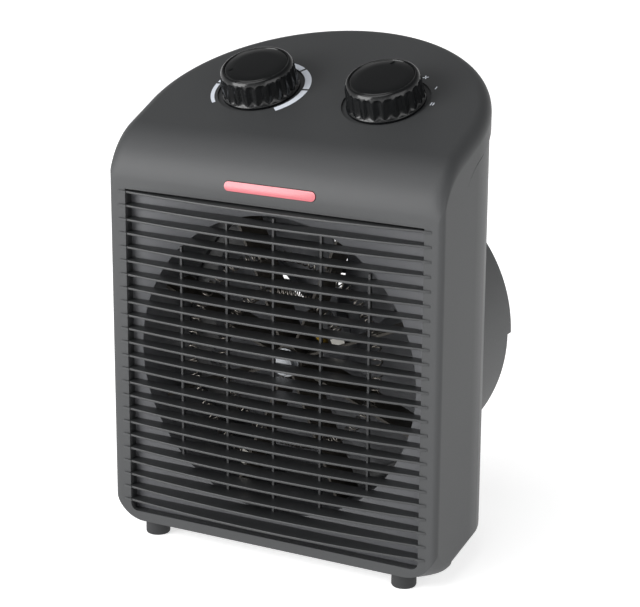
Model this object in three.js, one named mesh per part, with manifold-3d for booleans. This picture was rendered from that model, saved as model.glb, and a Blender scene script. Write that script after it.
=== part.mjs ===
// An upright fan heater: bowed louvre grille, sloped control deck, D-shaped casing, round fan housing.
// Millimetres, +Z up, front towards -Y. Everything is drawn with the front frame's face on y = 0 and
// the table on z = 0; the last lines move the whole so that the table under its middle is the origin.
import * as THREE from 'three';
import { mergeGeometries, mergeVertices } from 'three/addons/utils/BufferGeometryUtils.js';
import Module from 'manifold-3d';

const wasm = await Module();
wasm.setup();

// ---------------------------------------------------------------- driving dimensions
// Casing
const CASE_DEPTH = 127; // front face to the rearmost point of the deck
const SIDE_STRAIGHT = 42; // the side walls run straight this far back, then curve in
const GROUND_CLEARANCE = 8.5; // table to the underside of the front cover
const BROW = 26.4; // from the grille opening's top up to where the deck's plane meets the front face's plane
const DECK_SLOPE = 22.15; // degrees
const FRONT_BEND = 32; // radius between the front face and the deck
const DECK_EDGE = 8; // rounding between the deck and the side walls
const FRONT_CORNER = 3; // upright corners of the front face
const FOOT_CORNER = 19; // bottom corners, seen from the front
const TAIL_RISE = 11.5; // degrees by which the underside climbs behind the seam
const WALL = 2.5; // front cover
const REAR_WALL = 3; // rear cover
const FIT = 0.3; // gap between two pieces that seat on each other

// Seam between the covers, seen from the side
const SEAM_Y = 20.5;
const SEAM_BEND = 40;
const SKIRT = 16; // height of the front cover's rear skirt below the deck
const SIDE_TUCK = 0.5; // how far the rear cover lies inside the front cover's sides
const REAR_TUCK = 2.4; // how much further it lies in under the deck's rear edge
const LIP_THICKNESS = 1.8; // lip of the rear cover that runs inside the front cover
const LIP_LENGTH = 3;

// Grille opening and louvres
const FRAME_SIDE = 10.5; // width of the front frame beside the opening
const FRAME_FOOT = 5.5; // width of the front frame below it
const OPENING_ROOM = 4.8; // from the fan housing's top up to the opening's top
const OPENING_CORNER = 4;
const LOUVRE_PITCH = 7.75;
const LOUVRE_THICKNESS = 1.3;
const LOUVRE_DROP = 1.6; // from the opening's top to the middle of the highest louvre
const LOUVRE_BOW = 6.2; // how far the louvres stand out in front of the frame at their middle
const RIDGE_RUN = 4.8; // how far the louvre lines run out over the frame at each end
const GRILLE_BACK = 6; // rear face of the grille's rim and ribs
const LOUVRE_BACK = 4; // rear face of its louvres
const GRILLE_RIM = 4; // width of the grille's rim behind the frame
const RIB_COUNT = 5;
const RIB_PITCH = 28.5;
const RIB_WIDTH = 1.2;

// Air duct, fan axis and fan housing
const HOUSING_RADIUS = 85; // fan housing; the casing, the duct and the fan are laid out round it
const FLOOR_ROOM = 16.8; // from the front cover's underside up to the fan housing
const SIDE_ROOM = 15; // from the fan housing to the casing's sides; the supply lead runs through it
const DUCT_WALL = 2;
const DUCT_STEP = 1.5; // the duct's bore is this much smaller than the housing's outside
const DUCT_REAR = 56.2;
const DUCT_LEDGE = 2.9; // how far the duct's plate reaches above the grille opening
const HOUSING_WALL = 2.5;
const INTAKE_ROOM = 3.9; // from the motor's end cap to the intake grille
const VISOR_DEPTH = 4.7; // the upper half of the housing's rim stands further back
const VISOR_WALL = 4;
const INTAKE_LEDGE = 9; // width of the housing's rear wall round the intake
const INTAKE_BAR_PITCH = 12;
const INTAKE_BAR_WIDTH = 3;
const INTAKE_RIB_X = 30;
const INTAKE_RIM = 3; // rim of the intake grille behind the housing's rear wall
const INTAKE_DEPTH = 4.2;
const INTAKE_FLANGE = 2; // thickness of its rim

// Indicator window
const LENS_LENGTH = 55;
const LENS_HEIGHT = 6;
const LENS_GAP = 0.4; // from the grille's rim up to the window's flange
const LENS_PROUD = 0.4;
const LENS_FLANGE = 1.5;
const LAMP_RADIUS = 2.5;
const LAMP_LENGTH = 16;
const LAMP_Y = 9;

// Knobs and what they turn
const KNOB_SPACING = 76.2;
const KNOB_Y = 58.9;
const KNOB_RADIUS = 20.4; // at the top of the flutes
const KNOB_FLANGE = 22;
const KNOB_HEIGHT = 15.2;
const KNOB_FLUTES = 22;
const FLUTE_DEPTH = 0.8;
const KNOB_CAVITY = 16.5;
const RECESS_RADIUS = 24.3;
const RECESS_DEPTH = 1.2;
const BUSH_RADIUS = 5;
const BUSH_HEIGHT = 2.5; // above the deck
const SPINDLE_RADIUS = 3;
const SWITCH_SIZE = 30;
const SWITCH_DEPTH = 14;
const THERMOSTAT_LENGTH = 34;
const THERMOSTAT_WIDTH = 20;
const THERMOSTAT_HEIGHT = 15;

// Heating element
const ELEMENT_FRONT = 20;
const ELEMENT_DEPTH = 24;
const ARM_COUNT = 8;
const ARM_THICKNESS = 1.4;
const ELEMENT_HUB = 9;
const COIL_INNER = 34; // spiral's radius where it starts
const COIL_OUTER = 66; // and where it ends
const COIL_ARMS = 13; // arms from its first terminal to its last
const COIL_CURLS = 46;
const COIL_RADIUS = 3;
const WIRE_RADIUS = 0.55;
const COIL_Y = 24.5;
const TERMINAL_SIZE = 4;

// Fan and motor
const FAN_GAP = 4.8; // from the duct's end to the fan
const FAN_DEPTH = 18;
const FAN_CLEARANCE = 4.5; // from the blades' tips to the housing
const FAN_HUB = 17;
const BLADE_COUNT = 7;
const BLADE_THICKNESS = 1.6;
const ROOT_CHORD = 24;
const TIP_CHORD = 46;
const ROOT_PITCH = 38; // degrees
const TIP_PITCH = 19;
const SHAFT_RADIUS = 1.6;
const BRACKET_GAP = 5.6; // from the fan to the bracket
const BRACKET_THICKNESS = 2.4;
const BRACKET_ARMS = 4;
const BRACKET_ARM_WIDTH = 12;
const MOTOR_RADIUS = 22;
const MOTOR_LENGTH = 25;
const MOTOR_SHEET = 1.2;
const CAP_DEPTH = 3;
const BEARING_RADIUS = 5;
const BEARING_LENGTH = 5;
const ROTOR_RADIUS = 14;

// Feet, screws and cord gland
const FOOT_RADIUS = 6.8;
const FRONT_FOOT_INSET = 22.6; // from the casing's side to the foot's middle
const FRONT_FOOT_Y = 9;
const REAR_FOOT_INSET = 26;
const REAR_FOOT_Y = 89.5;
const REAR_FOOT_TOP = 26;
const FOOT_PLUG = 2.5;
const SCREW_HEAD = 3.5;
const SCREW_HEAD_HEIGHT = 2;
const SCREW_SHANK = 1.6;
const TOP_SCREW_INSET = 20;
const TOP_SCREW_RISE = 11.9; // above the opening's top
const TOP_SCREW_SEAT = 28; // distance of the head's seat behind the front face
const BOTTOM_SCREW_INSET = 40;
const BOTTOM_SCREW_SETBACK = 7.5; // behind the seam
const GLAND_ANGLE = 39.84; // degrees from straight below the fan's axis, towards the left
const GLAND_OFFSET = 11.77; // from the fan housing to the gland's middle
const GLAND_RADIUS = 5;
const GLAND_WALL = 1.8;
const GLAND_LENGTH = 21;
const GLAND_COLLAR = 3; // how far its collar stands out
const GLAND_REAR = 112;
const LEAD_RADIUS = 1.8;
const LEAD_RUN = 7; // its straight run from the gland

// ---------------------------------------------------------------- worked out from them
const HALF = HOUSING_RADIUS + SIDE_ROOM; // half the casing's width
const AXIS_Z = GROUND_CLEARANCE + FLOOR_ROOM + HOUSING_RADIUS;
const OPENING_HALF = HALF - FRAME_SIDE;
const OPENING_BOTTOM = GROUND_CLEARANCE + FRAME_FOOT;
const OPENING_TOP = AXIS_Z + HOUSING_RADIUS + OPENING_ROOM;
const TOP_LOUVRE = OPENING_TOP - LOUVRE_DROP;
const LOUVRE_COUNT = 1 + Math.floor((TOP_LOUVRE - OPENING_BOTTOM - LOUVRE_THICKNESS) / LOUVRE_PITCH);
const DECK_RISE = OPENING_TOP + BROW; // height at which the deck's plane meets the front face's plane
const SLOPE = THREE.MathUtils.degToRad(DECK_SLOPE);
const BEND_RUN = Math.tan((Math.PI / 2 - SLOPE) / 2); // tangent length of a bend of radius 1
const BEND_START = DECK_RISE - FRONT_BEND * BEND_RUN; // height where the front face starts to bend
const INTAKE_RADIUS = HOUSING_RADIUS - INTAKE_LEDGE;
const DUCT_RADIUS = HOUSING_RADIUS - DUCT_STEP;
const FAN_RADIUS = HOUSING_RADIUS - HOUSING_WALL - FAN_CLEARANCE;
const DUCT_TOP = OPENING_TOP + DUCT_LEDGE;
const LENS_Z = OPENING_TOP + GRILLE_RIM + LENS_GAP + LENS_FLANGE + LENS_HEIGHT / 2;
const FAN_FRONT = DUCT_REAR + FAN_GAP;
const BRACKET_FRONT = FAN_FRONT + FAN_DEPTH + BRACKET_GAP;
const MOTOR_FRONT = BRACKET_FRONT + BRACKET_THICKNESS + FIT;
const MOTOR_REAR = MOTOR_FRONT + MOTOR_LENGTH;
const INTAKE_FRONT = MOTOR_REAR + FIT + CAP_DEPTH + INTAKE_ROOM;
const HOUSING_REAR = INTAKE_FRONT + INTAKE_FLANGE + FIT + REAR_WALL;
const FRONT_FOOT_X = HALF - FRONT_FOOT_INSET;
const REAR_FOOT_X = HALF - REAR_FOOT_INSET;
const TOP_SCREW_X = HALF - TOP_SCREW_INSET;
const TOP_SCREW_Z = OPENING_TOP + TOP_SCREW_RISE;
const BOTTOM_SCREW_X = HALF - BOTTOM_SCREW_INSET;
const BOTTOM_SCREW_Y = SEAM_Y + BOTTOM_SCREW_SETBACK;
const GLAND_X = -(HOUSING_RADIUS + GLAND_OFFSET) * Math.sin(THREE.MathUtils.degToRad(GLAND_ANGLE));
const GLAND_Z = AXIS_Z - (HOUSING_RADIUS + GLAND_OFFSET) * Math.cos(THREE.MathUtils.degToRad(GLAND_ANGLE));
const FAR = 400; // beyond the object
const ROUND = 36; // facets of a large circle
const SMALL = 12; // facets of a small one

// ---------------------------------------------------------------- solids
// A closed three.js geometry as a solid. Its faces are turned outwards if the profile ran the other way.
function solid(geometry) {
  const bare = geometry.index ? geometry.toNonIndexed() : geometry.clone();
  for (const name of Object.keys(bare.attributes)) {
    if (name !== 'position') bare.deleteAttribute(name);
  }
  const merged = mergeVertices(bare, 1e-4);
  const at = merged.attributes.position;
  const corner = [new THREE.Vector3(), new THREE.Vector3(), new THREE.Vector3()];
  const triangles = [];
  let volume = 0;
  for (let i = 0; i < merged.index.count; i += 3) {
    const ids = [0, 1, 2].map((k) => merged.index.getX(i + k));
    if (ids[0] === ids[1] || ids[1] === ids[2] || ids[2] === ids[0]) continue;
    corner.forEach((point, k) => point.fromBufferAttribute(at, ids[k]));
    volume += corner[0].dot(corner[1].clone().cross(corner[2]));
    triangles.push(ids);
  }
  const triVerts = new Uint32Array((volume < 0 ? triangles.map((ids) => ids.reverse()) : triangles).flat());
  return new wasm.Manifold(new wasm.Mesh({ numProp: 3, vertProperties: at.array, triVerts }));
}

// A solid as a named mesh.
function piece(name, body, material) {
  const { numProp, vertProperties, triVerts } = body.getMesh();
  const buffer = new THREE.InterleavedBuffer(new Float32Array(vertProperties), numProp);
  const geometry = new THREE.BufferGeometry();
  geometry.setAttribute('position', new THREE.InterleavedBufferAttribute(buffer, 3, 0));
  geometry.setIndex(new THREE.BufferAttribute(new Uint32Array(triVerts), 1));
  const flat = geometry.toNonIndexed();
  flat.computeVertexNormals();
  const mesh = new THREE.Mesh(flat, material);
  mesh.name = name;
  return mesh;
}

const join = (bodies) => bodies.reduce((all, body) => all.add(body));

// A box between two corners.
function block(low, high) {
  const box = new THREE.BoxGeometry(high[0] - low[0], high[1] - low[1], high[2] - low[2]);
  return box.translate((low[0] + high[0]) / 2, (low[1] + high[1]) / 2, (low[2] + high[2]) / 2);
}

// A shape drawn in x and z, drawn out along y.
function alongY(shape, from, to, curveSegments = 3) {
  const drawn = new THREE.ExtrudeGeometry(shape, { depth: to - from, bevelEnabled: false, curveSegments });
  return drawn.rotateX(Math.PI / 2).translate(0, to, 0);
}

// A shape drawn in y and z, drawn out along x to both sides of the middle.
function alongX(shape, half, curveSegments = 5) {
  const drawn = new THREE.ExtrudeGeometry(shape, { depth: 2 * half, bevelEnabled: false, curveSegments });
  const turn = new THREE.Matrix4().makeBasis(
    new THREE.Vector3(0, 1, 0),
    new THREE.Vector3(0, 0, 1),
    new THREE.Vector3(1, 0, 0),
  );
  return drawn.applyMatrix4(turn).translate(-half, 0, 0);
}

// A rod along y, at x and z.
function rodY(radius, from, to, x = 0, z = AXIS_Z, facets = SMALL) {
  const rod = new THREE.CylinderGeometry(radius, radius, to - from, facets);
  return rod.translate(x, (from + to) / 2, z);
}

// A rod along z, at x and y.
function rodZ(radius, from, to, x = 0, y = 0, facets = SMALL) {
  const rod = new THREE.CylinderGeometry(radius, radius, to - from, facets).rotateX(Math.PI / 2);
  return rod.translate(x, y, (from + to) / 2);
}

// A profile of [radius, height] points turned about z.
function turnedZ(profile, facets = ROUND) {
  const points = profile.map(([r, h]) => new THREE.Vector2(r, h));
  return new THREE.LatheGeometry(points, facets).rotateX(Math.PI / 2);
}

// A profile of [radius, y] points turned about the fan's axis.
function turnedY(profile, facets = ROUND) {
  const points = profile.map(([r, y]) => new THREE.Vector2(r, y));
  return new THREE.LatheGeometry(points, facets).translate(0, 0, AXIS_Z);
}

// Rings of points joined into a skin and closed at both ends. Every ring has the same number of points.
function loft(rings) {
  const count = rings[0].length;
  const faces = [];
  const last = rings.length - 1;
  for (let j = 0; j < last; j += 1) {
    for (let i = 0; i < count; i += 1) {
      const next = (i + 1) % count;
      faces.push(rings[j][i], rings[j][next], rings[j + 1][next]);
      faces.push(rings[j][i], rings[j + 1][next], rings[j + 1][i]);
    }
  }
  for (let i = 1; i < count - 1; i += 1) {
    faces.push(rings[0][0], rings[0][i + 1], rings[0][i]);
    faces.push(rings[last][0], rings[last][i], rings[last][i + 1]);
  }
  const geometry = new THREE.BufferGeometry();
  return geometry.setAttribute('position', new THREE.Float32BufferAttribute(faces.flat(), 3));
}

// ---------------------------------------------------------------- casing envelope
// Height of the casing's top at y, for a skin that lies `inset` inside the outer one.
function topHeight(y, inset) {
  const radius = FRONT_BEND - inset;
  if (y < FRONT_BEND - radius * Math.sin(SLOPE)) {
    return BEND_START + Math.sqrt(Math.max(radius ** 2 - (FRONT_BEND - y) ** 2, 0));
  }
  return DECK_RISE + y * Math.tan(SLOPE) - inset / Math.cos(SLOPE);
}

// Plan outline of the casing, counter-clockwise from the right end of the front line.
function planOutline(half, front, rear, corner) {
  const cornerSteps = 2;
  const bendSteps = 5;
  const rearSteps = 24;
  const side = [];
  for (let i = 0; i <= cornerSteps; i += 1) {
    const angle = (Math.PI / 2) * (i / cornerSteps - 1);
    side.push([half - corner + corner * Math.cos(angle), front + corner + corner * Math.sin(angle)]);
  }
  for (let i = 2; i <= bendSteps; i += 1) {
    const bend = FRONT_BEND * (1 - Math.cos((Math.PI / 2 - SLOPE) * (i / bendSteps)));
    const share = (bend - FRONT_CORNER) / (SIDE_STRAIGHT - FRONT_CORNER);
    side.push([half, THREE.MathUtils.lerp(front + corner, SIDE_STRAIGHT, share)]);
  }
  const curve = [];
  for (let i = 0; i <= rearSteps; i += 1) {
    const angle = (Math.PI * i) / rearSteps;
    curve.push([half * Math.cos(angle), SIDE_STRAIGHT + (rear - SIDE_STRAIGHT) * Math.sin(angle)]);
  }
  const frontLine = [0.3, 0.65, 1].map((share) => [half - corner - share * DECK_EDGE, front]);
  const mirrored = (points) => points.map(([x, y]) => [-x, y]);
  return [...side, ...curve, ...mirrored(side).reverse(), ...mirrored(frontLine), ...frontLine.reverse()];
}

// The filled casing down to the table, `inset` inside the outer skin, its curved rear `tuck` further in.
function casing(inset, tuck = 0) {
  const half = HALF - inset;
  const edge = Math.max(DECK_EDGE - inset, 1);
  const edgeSteps = inset > 0 ? 2 : 4; // the inner skins aren't seen
  const flat = FRONT_BEND * (1 - Math.sin(SLOPE)) + DECK_EDGE / 8; // from here in, the top is one plane
  const insets = [];
  for (let i = 0; i <= edgeSteps; i += 1) insets.push(edge * (1 - Math.cos((Math.PI / 2) * (i / edgeSteps))));
  for (const share of [0.5, 1]) insets.push(THREE.MathUtils.lerp(edge, flat, share));
  const ringAt = (step) => planOutline(
    half - step, inset + step, CASE_DEPTH - inset - tuck - step, Math.max(FRONT_CORNER - inset - step, 0.2));
  const rings = insets.map((step) => ringAt(step).map(([x, y]) => {
    const fromSide = y <= SIDE_STRAIGHT ? half - Math.abs(x) : step;
    const drop = edge - Math.sqrt(edge ** 2 - (edge - Math.min(fromSide, edge)) ** 2);
    return [x, y, topHeight(y, inset) - drop];
  }));
  return solid(loft([ringAt(0).map(([x, y]) => [x, y, 0]), ...rings]));
}

// The casing's front view with its rounded bottom corners; above them it is left wide.
function frontView(inset) {
  const half = HALF - inset;
  const low = GROUND_CLEARANCE + inset;
  const corner = FOOT_CORNER - inset;
  const shape = new THREE.Shape();
  shape.moveTo(HALF + FAR, FAR);
  shape.lineTo(-HALF - FAR, FAR);
  shape.lineTo(-HALF - FAR, low + corner);
  shape.lineTo(-half, low + corner);
  shape.absarc(-half + corner, low + corner, corner, Math.PI, 1.5 * Math.PI, false);
  shape.absarc(half - corner, low + corner, corner, 1.5 * Math.PI, 2 * Math.PI, false);
  shape.lineTo(HALF + FAR, low + corner);
  return shape;
}

// Filled front part of the casing.
const frontEnvelope = (inset) => casing(inset).intersect(solid(alongY(frontView(inset), -FAR, FAR)));

// Filled rear part: its underside and bottom corners climb from the seam.
function rearEnvelope(inset) {
  const tail = alongY(frontView(SIDE_TUCK + inset), -FAR, FAR);
  tail.translate(0, -SEAM_Y, -GROUND_CLEARANCE);
  tail.rotateX(THREE.MathUtils.degToRad(TAIL_RISE));
  tail.translate(0, SEAM_Y, GROUND_CLEARANCE);
  return casing(SIDE_TUCK + inset, REAR_TUCK).intersect(solid(tail));
}

// Everything in front of the seam and above it, seen from the side; `offset` moves the seam back and down.
function seamRegion(offset) {
  const middleY = SEAM_Y + SEAM_BEND;
  const middleZ = DECK_RISE - SKIRT + SEAM_Y * Math.tan(SLOPE) - SEAM_BEND * BEND_RUN;
  const lineEnd = DECK_RISE - SKIRT + FAR * Math.tan(SLOPE) - offset / Math.cos(SLOPE);
  const shape = new THREE.Shape();
  shape.moveTo(-FAR, -FAR);
  shape.lineTo(SEAM_Y + offset, -FAR);
  shape.absarc(middleY, middleZ, SEAM_BEND - offset, Math.PI, Math.PI / 2 + SLOPE, true);
  shape.lineTo(FAR, lineEnd);
  shape.lineTo(FAR, 2 * FAR);
  shape.lineTo(-FAR, 2 * FAR);
  return solid(alongX(shape, FAR));
}

// ---------------------------------------------------------------- grille
// Front edge of a louvre at x: an arc that stands out from the frame and meets it beyond the opening.
function louvreFront(x) {
  const reach = OPENING_HALF + RIDGE_RUN;
  const radius = (reach ** 2 + LOUVRE_BOW ** 2) / (2 * LOUVRE_BOW);
  return radius - LOUVRE_BOW - Math.sqrt(radius ** 2 - x ** 2);
}

const louvreHeights = Array.from({ length: LOUVRE_COUNT }, (_, i) => TOP_LOUVRE - i * LOUVRE_PITCH);

// The opening's outline, grown by `grow` on every side.
function openingShape(grow) {
  const half = OPENING_HALF + grow;
  const low = OPENING_BOTTOM - grow;
  const corner = Math.max(OPENING_CORNER + grow, 0.5);
  const shape = new THREE.Shape();
  shape.moveTo(half, OPENING_TOP + grow);
  shape.lineTo(-half, OPENING_TOP + grow);
  shape.absarc(-half + corner, low + corner, corner, Math.PI, 1.5 * Math.PI, false);
  shape.absarc(half - corner, low + corner, corner, 1.5 * Math.PI, 2 * Math.PI, false);
  return shape;
}

// A plan shape drawn up by one louvre thickness at each louvre's height.
function atEachLouvre(shape) {
  return mergeGeometries(louvreHeights.map((height) => {
    const slice = new THREE.ExtrudeGeometry(shape, { depth: LOUVRE_THICKNESS, bevelEnabled: false });
    return slice.translate(0, 0, height - LOUVRE_THICKNESS / 2);
  }));
}

function frontGrille() {
  const end = OPENING_HALF - FIT;
  const rimFront = WALL + FIT;
  const rimMiddle = OPENING_HALF + GRILLE_RIM / 2;
  const steps = 6;
  const louvre = new THREE.Shape();
  louvre.moveTo(rimMiddle, rimFront + 0.2);
  louvre.lineTo(end, rimFront + 0.2);
  for (let i = 0; i <= steps; i += 1) {
    const x = end * (1 - (2 * i) / steps);
    louvre.lineTo(x, louvreFront(x));
  }
  louvre.lineTo(-end, rimFront + 0.2);
  louvre.lineTo(-rimMiddle, rimFront + 0.2);
  louvre.lineTo(-rimMiddle, LOUVRE_BACK);
  louvre.lineTo(rimMiddle, LOUVRE_BACK);
  const rim = solid(alongY(openingShape(GRILLE_RIM), rimFront, GRILLE_BACK))
    .intersect(frontEnvelope(WALL + FIT))
    .subtract(solid(alongY(openingShape(0), 0, GRILLE_BACK + 1)));
  const ribs = Array.from({ length: RIB_COUNT }, (_, i) => {
    const x = (i - (RIB_COUNT - 1) / 2) * RIB_PITCH;
    return solid(block(
      [x - RIB_WIDTH / 2, LOUVRE_BACK, OPENING_BOTTOM - GRILLE_RIM / 2],
      [x + RIB_WIDTH / 2, GRILLE_BACK, OPENING_TOP + GRILLE_RIM / 2]));
  });
  const louvres = solid(atEachLouvre(louvre));
  const keep = solid(alongY(openingShape(GRILLE_RIM), -FAR, FAR))
    .intersect(solid(alongY(frontView(WALL + FIT), -FAR, FAR)));
  const clearOfFrame = solid(alongY(openingShape(-FIT), -FAR, rimFront))
    .add(solid(block([-FAR, rimFront, -FAR], [FAR, FAR, FAR])));
  return join([rim, louvres, ...ribs]).intersect(keep).intersect(clearOfFrame);
}

// ---------------------------------------------------------------- deck frame
// Places a geometry drawn about a knob's axis (z = 0 on the deck) on the sloped deck.
const deckPoint = new THREE.Vector3(KNOB_SPACING / 2, KNOB_Y, DECK_RISE + KNOB_Y * Math.tan(SLOPE));
function onDeck(geometry, side) {
  return geometry.rotateX(SLOPE).translate(side * deckPoint.x, deckPoint.y, deckPoint.z);
}

const stadium = (length, height, z) => {
  const radius = height / 2;
  const run = length / 2 - radius;
  const shape = new THREE.Shape();
  shape.absarc(run, z, radius, -Math.PI / 2, Math.PI / 2, false);
  shape.absarc(-run, z, radius, Math.PI / 2, 1.5 * Math.PI, false);
  return shape;
};

const SIDES = [-1, 1];
const deckUnderside = -(RECESS_DEPTH + WALL);

// ---------------------------------------------------------------- front cover
function frontCover() {
  const shell = frontEnvelope(0).subtract(frontEnvelope(WALL)).intersect(seamRegion(0));
  const inside = frontEnvelope(WALL / 2);
  const postEnd = TOP_SCREW_SEAT - 2 - FIT;
  const armZ = GROUND_CLEARANCE + 6.5;
  const added = [];
  const cut = [
    solid(alongY(openingShape(0), -FAR, WALL + 2)),
    solid(alongY(stadium(LENS_LENGTH + 2 * FIT, LENS_HEIGHT + 2 * FIT, LENS_Z), -FAR, WALL + 4, 5)),
  ];
  for (const side of SIDES) {
    const x = side * TOP_SCREW_X;
    added.push(solid(rodY(4.5, 1, postEnd, x, TOP_SCREW_Z)).intersect(inside));
    cut.push(solid(rodY(SCREW_SHANK + FIT, postEnd - 13, postEnd + 1, x, TOP_SCREW_Z, 12)));
    // A foot for the bottom screw, standing on the floor in front of the rear cover's lip.
    const armX = side * BOTTOM_SCREW_X;
    const back = BOTTOM_SCREW_Y + 4.5;
    const lipFront = SEAM_Y - LIP_LENGTH - 2 * FIT;
    added.push(solid(block([armX - 4.5, 10, GROUND_CLEARANCE + 1], [armX + 4.5, lipFront, armZ + 1])));
    added.push(solid(block([armX - 4.5, 10, armZ], [armX + 4.5, back, armZ + 9])));
    cut.push(solid(rodZ(SCREW_SHANK + FIT, armZ - 1, FAR / 10, armX, BOTTOM_SCREW_Y, 12)));
    cut.push(solid(rodZ(FOOT_PLUG + FIT, 0, GROUND_CLEARANCE + WALL + 1, side * FRONT_FOOT_X, FRONT_FOOT_Y)));
    const pad = rodZ(RECESS_RADIUS + WALL, deckUnderside, -WALL / 2, 0, 0, 24);
    added.push(solid(onDeck(pad, side)).intersect(inside));
    cut.push(solid(onDeck(rodZ(RECESS_RADIUS, -RECESS_DEPTH, 10, 0, 0, ROUND), side)));
    cut.push(solid(onDeck(rodZ(BUSH_RADIUS + FIT, -12, 10), side)));
  }
  return join([shell, ...added]).subtract(join(cut));
}

// ---------------------------------------------------------------- indicator
function indicatorLens() {
  const window = solid(alongY(stadium(LENS_LENGTH, LENS_HEIGHT, LENS_Z), -FAR, FAR, 5))
    .intersect(casing(-LENS_PROUD))
    .subtract(casing(WALL + FIT + LENS_FLANGE));
  const grown = 2 * LENS_FLANGE;
  const flange = solid(alongY(stadium(LENS_LENGTH + grown, LENS_HEIGHT + grown, LENS_Z), -FAR, FAR, 5))
    .intersect(casing(WALL + FIT))
    .subtract(casing(WALL + FIT + LENS_FLANGE));
  const frontOnly = solid(block([-FAR, -FAR, 0], [FAR, FRONT_BEND / 2, FAR]));
  return window.add(flange).intersect(frontOnly);
}

function neonLamp() {
  const lamp = new THREE.CapsuleGeometry(LAMP_RADIUS, LAMP_LENGTH - 2 * LAMP_RADIUS, 3, 12);
  return solid(lamp.rotateZ(Math.PI / 2).translate(0, LAMP_Y, LENS_Z));
}

function lampHolder() {
  const front = 2 * WALL + FIT + LENS_FLANGE;
  const half = LAMP_RADIUS + 2.5;
  const body = block([3, front, LENS_Z - half], [LAMP_LENGTH / 2 + 3, LAMP_Y + half, LENS_Z + half]);
  const socket = rodZ(LAMP_RADIUS + FIT, -1, LAMP_LENGTH / 2 + FIT);
  return solid(body).intersect(casing(WALL + 2 * FIT + LENS_FLANGE))
    .subtract(solid(socket.rotateY(Math.PI / 2).translate(0, LAMP_Y, LENS_Z)));
}

// ---------------------------------------------------------------- knobs, switch and thermostat
// One ring of the knob's skirt; `depth` is how far the flutes cut in.
function knobRing(radius, height, depth = 0) {
  const perFlute = 3;
  const count = KNOB_FLUTES * perFlute;
  return Array.from({ length: count }, (_, i) => {
    const angle = (2 * Math.PI * i) / count;
    const r = radius - depth * (0.5 - 0.5 * Math.cos(KNOB_FLUTES * angle));
    return [r * Math.cos(angle), r * Math.sin(angle), height];
  });
}

// `pointer` is the angle, seen from above, of the notch in the cap's edge.
function knob(pointer) {
  const top = KNOB_HEIGHT;
  const foot = -RECESS_DEPTH + FIT;
  const skin = loft([
    knobRing(KNOB_FLANGE, foot),
    knobRing(KNOB_FLANGE, 1.4),
    knobRing(KNOB_RADIUS + 1, 1.8, FLUTE_DEPTH),
    knobRing(KNOB_RADIUS, top - 2, FLUTE_DEPTH),
    knobRing(KNOB_RADIUS - 1.7, top - 0.1),
    knobRing(KNOB_RADIUS - 2.3, top - 0.7),
    knobRing(KNOB_RADIUS - 2.9, top),
  ]);
  const roof = top - 3.5;
  const hollow = solid(rodZ(KNOB_CAVITY, foot - 1, roof, 0, 0, 32))
    .subtract(solid(rodZ(SPINDLE_RADIUS + 3, BUSH_HEIGHT + 1.2, roof + 1)));
  const bore = solid(rodZ(SPINDLE_RADIUS + FIT, foot - 1, roof + 1));
  const notch = new THREE.CylinderGeometry(2.4, 2.4, 2, 3).rotateX(Math.PI / 2).rotateZ(-Math.PI / 2);
  notch.translate(KNOB_RADIUS - 6.2, 0, top + 0.4).rotateZ(pointer);
  return solid(skin).subtract(hollow).subtract(bore).subtract(solid(notch));
}

const spindle = () => solid(rodZ(SPINDLE_RADIUS, deckUnderside - 4, KNOB_HEIGHT - 3));

function clampNut() {
  const hexagon = rodZ(BUSH_RADIUS + 3, -RECESS_DEPTH + FIT, BUSH_HEIGHT - 0.7, 0, 0, 6);
  return solid(hexagon).subtract(solid(rodZ(BUSH_RADIUS + FIT, -FAR, FAR)));
}

// Threaded bush through the deck, bored for the spindle.
function bushed(body) {
  const top = deckUnderside - FIT;
  return body.add(solid(rodZ(BUSH_RADIUS, top - 1, BUSH_HEIGHT)))
    .subtract(solid(rodZ(SPINDLE_RADIUS + FIT, top - 5, FAR)));
}

function selectorSwitch() {
  const top = deckUnderside - FIT;
  const half = SWITCH_SIZE / 2;
  const body = solid(block([-half, -half, top - SWITCH_DEPTH], [half, half, top]));
  const tabs = [-9, -3, 3, 9].map((x) => solid(block(
    [x - 0.4, -3, top - SWITCH_DEPTH - 7], [x + 0.4, 3, top - SWITCH_DEPTH + 1])));
  return bushed(join([body, ...tabs]));
}

function thermostat() {
  const top = deckUnderside - FIT;
  const long = THERMOSTAT_LENGTH / 2;
  const wide = THERMOSTAT_WIDTH / 2;
  const plate = solid(block([-long, -wide, top - 2], [long, wide, top]));
  const high = THERMOSTAT_HEIGHT;
  const column = solid(rodZ(0.75 * wide, top - 0.8 * high, top - 1));
  const stack = solid(block([-0.94 * long, -wide / 2, top - high], [-0.47 * long, wide / 2, top - 1]));
  const blades = [0.35, 0.6, 0.85].map((share) => solid(block(
    [-0.88 * long, -0.35 * wide, top - share * high - 0.8], [0.88 * long, 0.35 * wide, top - share * high])));
  return bushed(join([plate, column, stack, ...blades]));
}

// ---------------------------------------------------------------- air duct and heating element
function airDuct() {
  const front = GRILLE_BACK + FIT;
  const plate = solid(alongY(frontView(WALL + FIT), front, front + DUCT_WALL))
    .intersect(solid(block([-HALF + WALL + FIT, 0, 0], [HALF - WALL - FIT, FAR, DUCT_TOP])));
  const outer = DUCT_RADIUS + DUCT_WALL;
  const tunnel = solid(rodY(outer, front + DUCT_WALL / 2, DUCT_REAR, 0, AXIS_Z, ROUND));
  return plate.add(tunnel).subtract(solid(rodY(DUCT_RADIUS, -1, FAR, 0, AXIS_Z, ROUND)));
}

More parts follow.
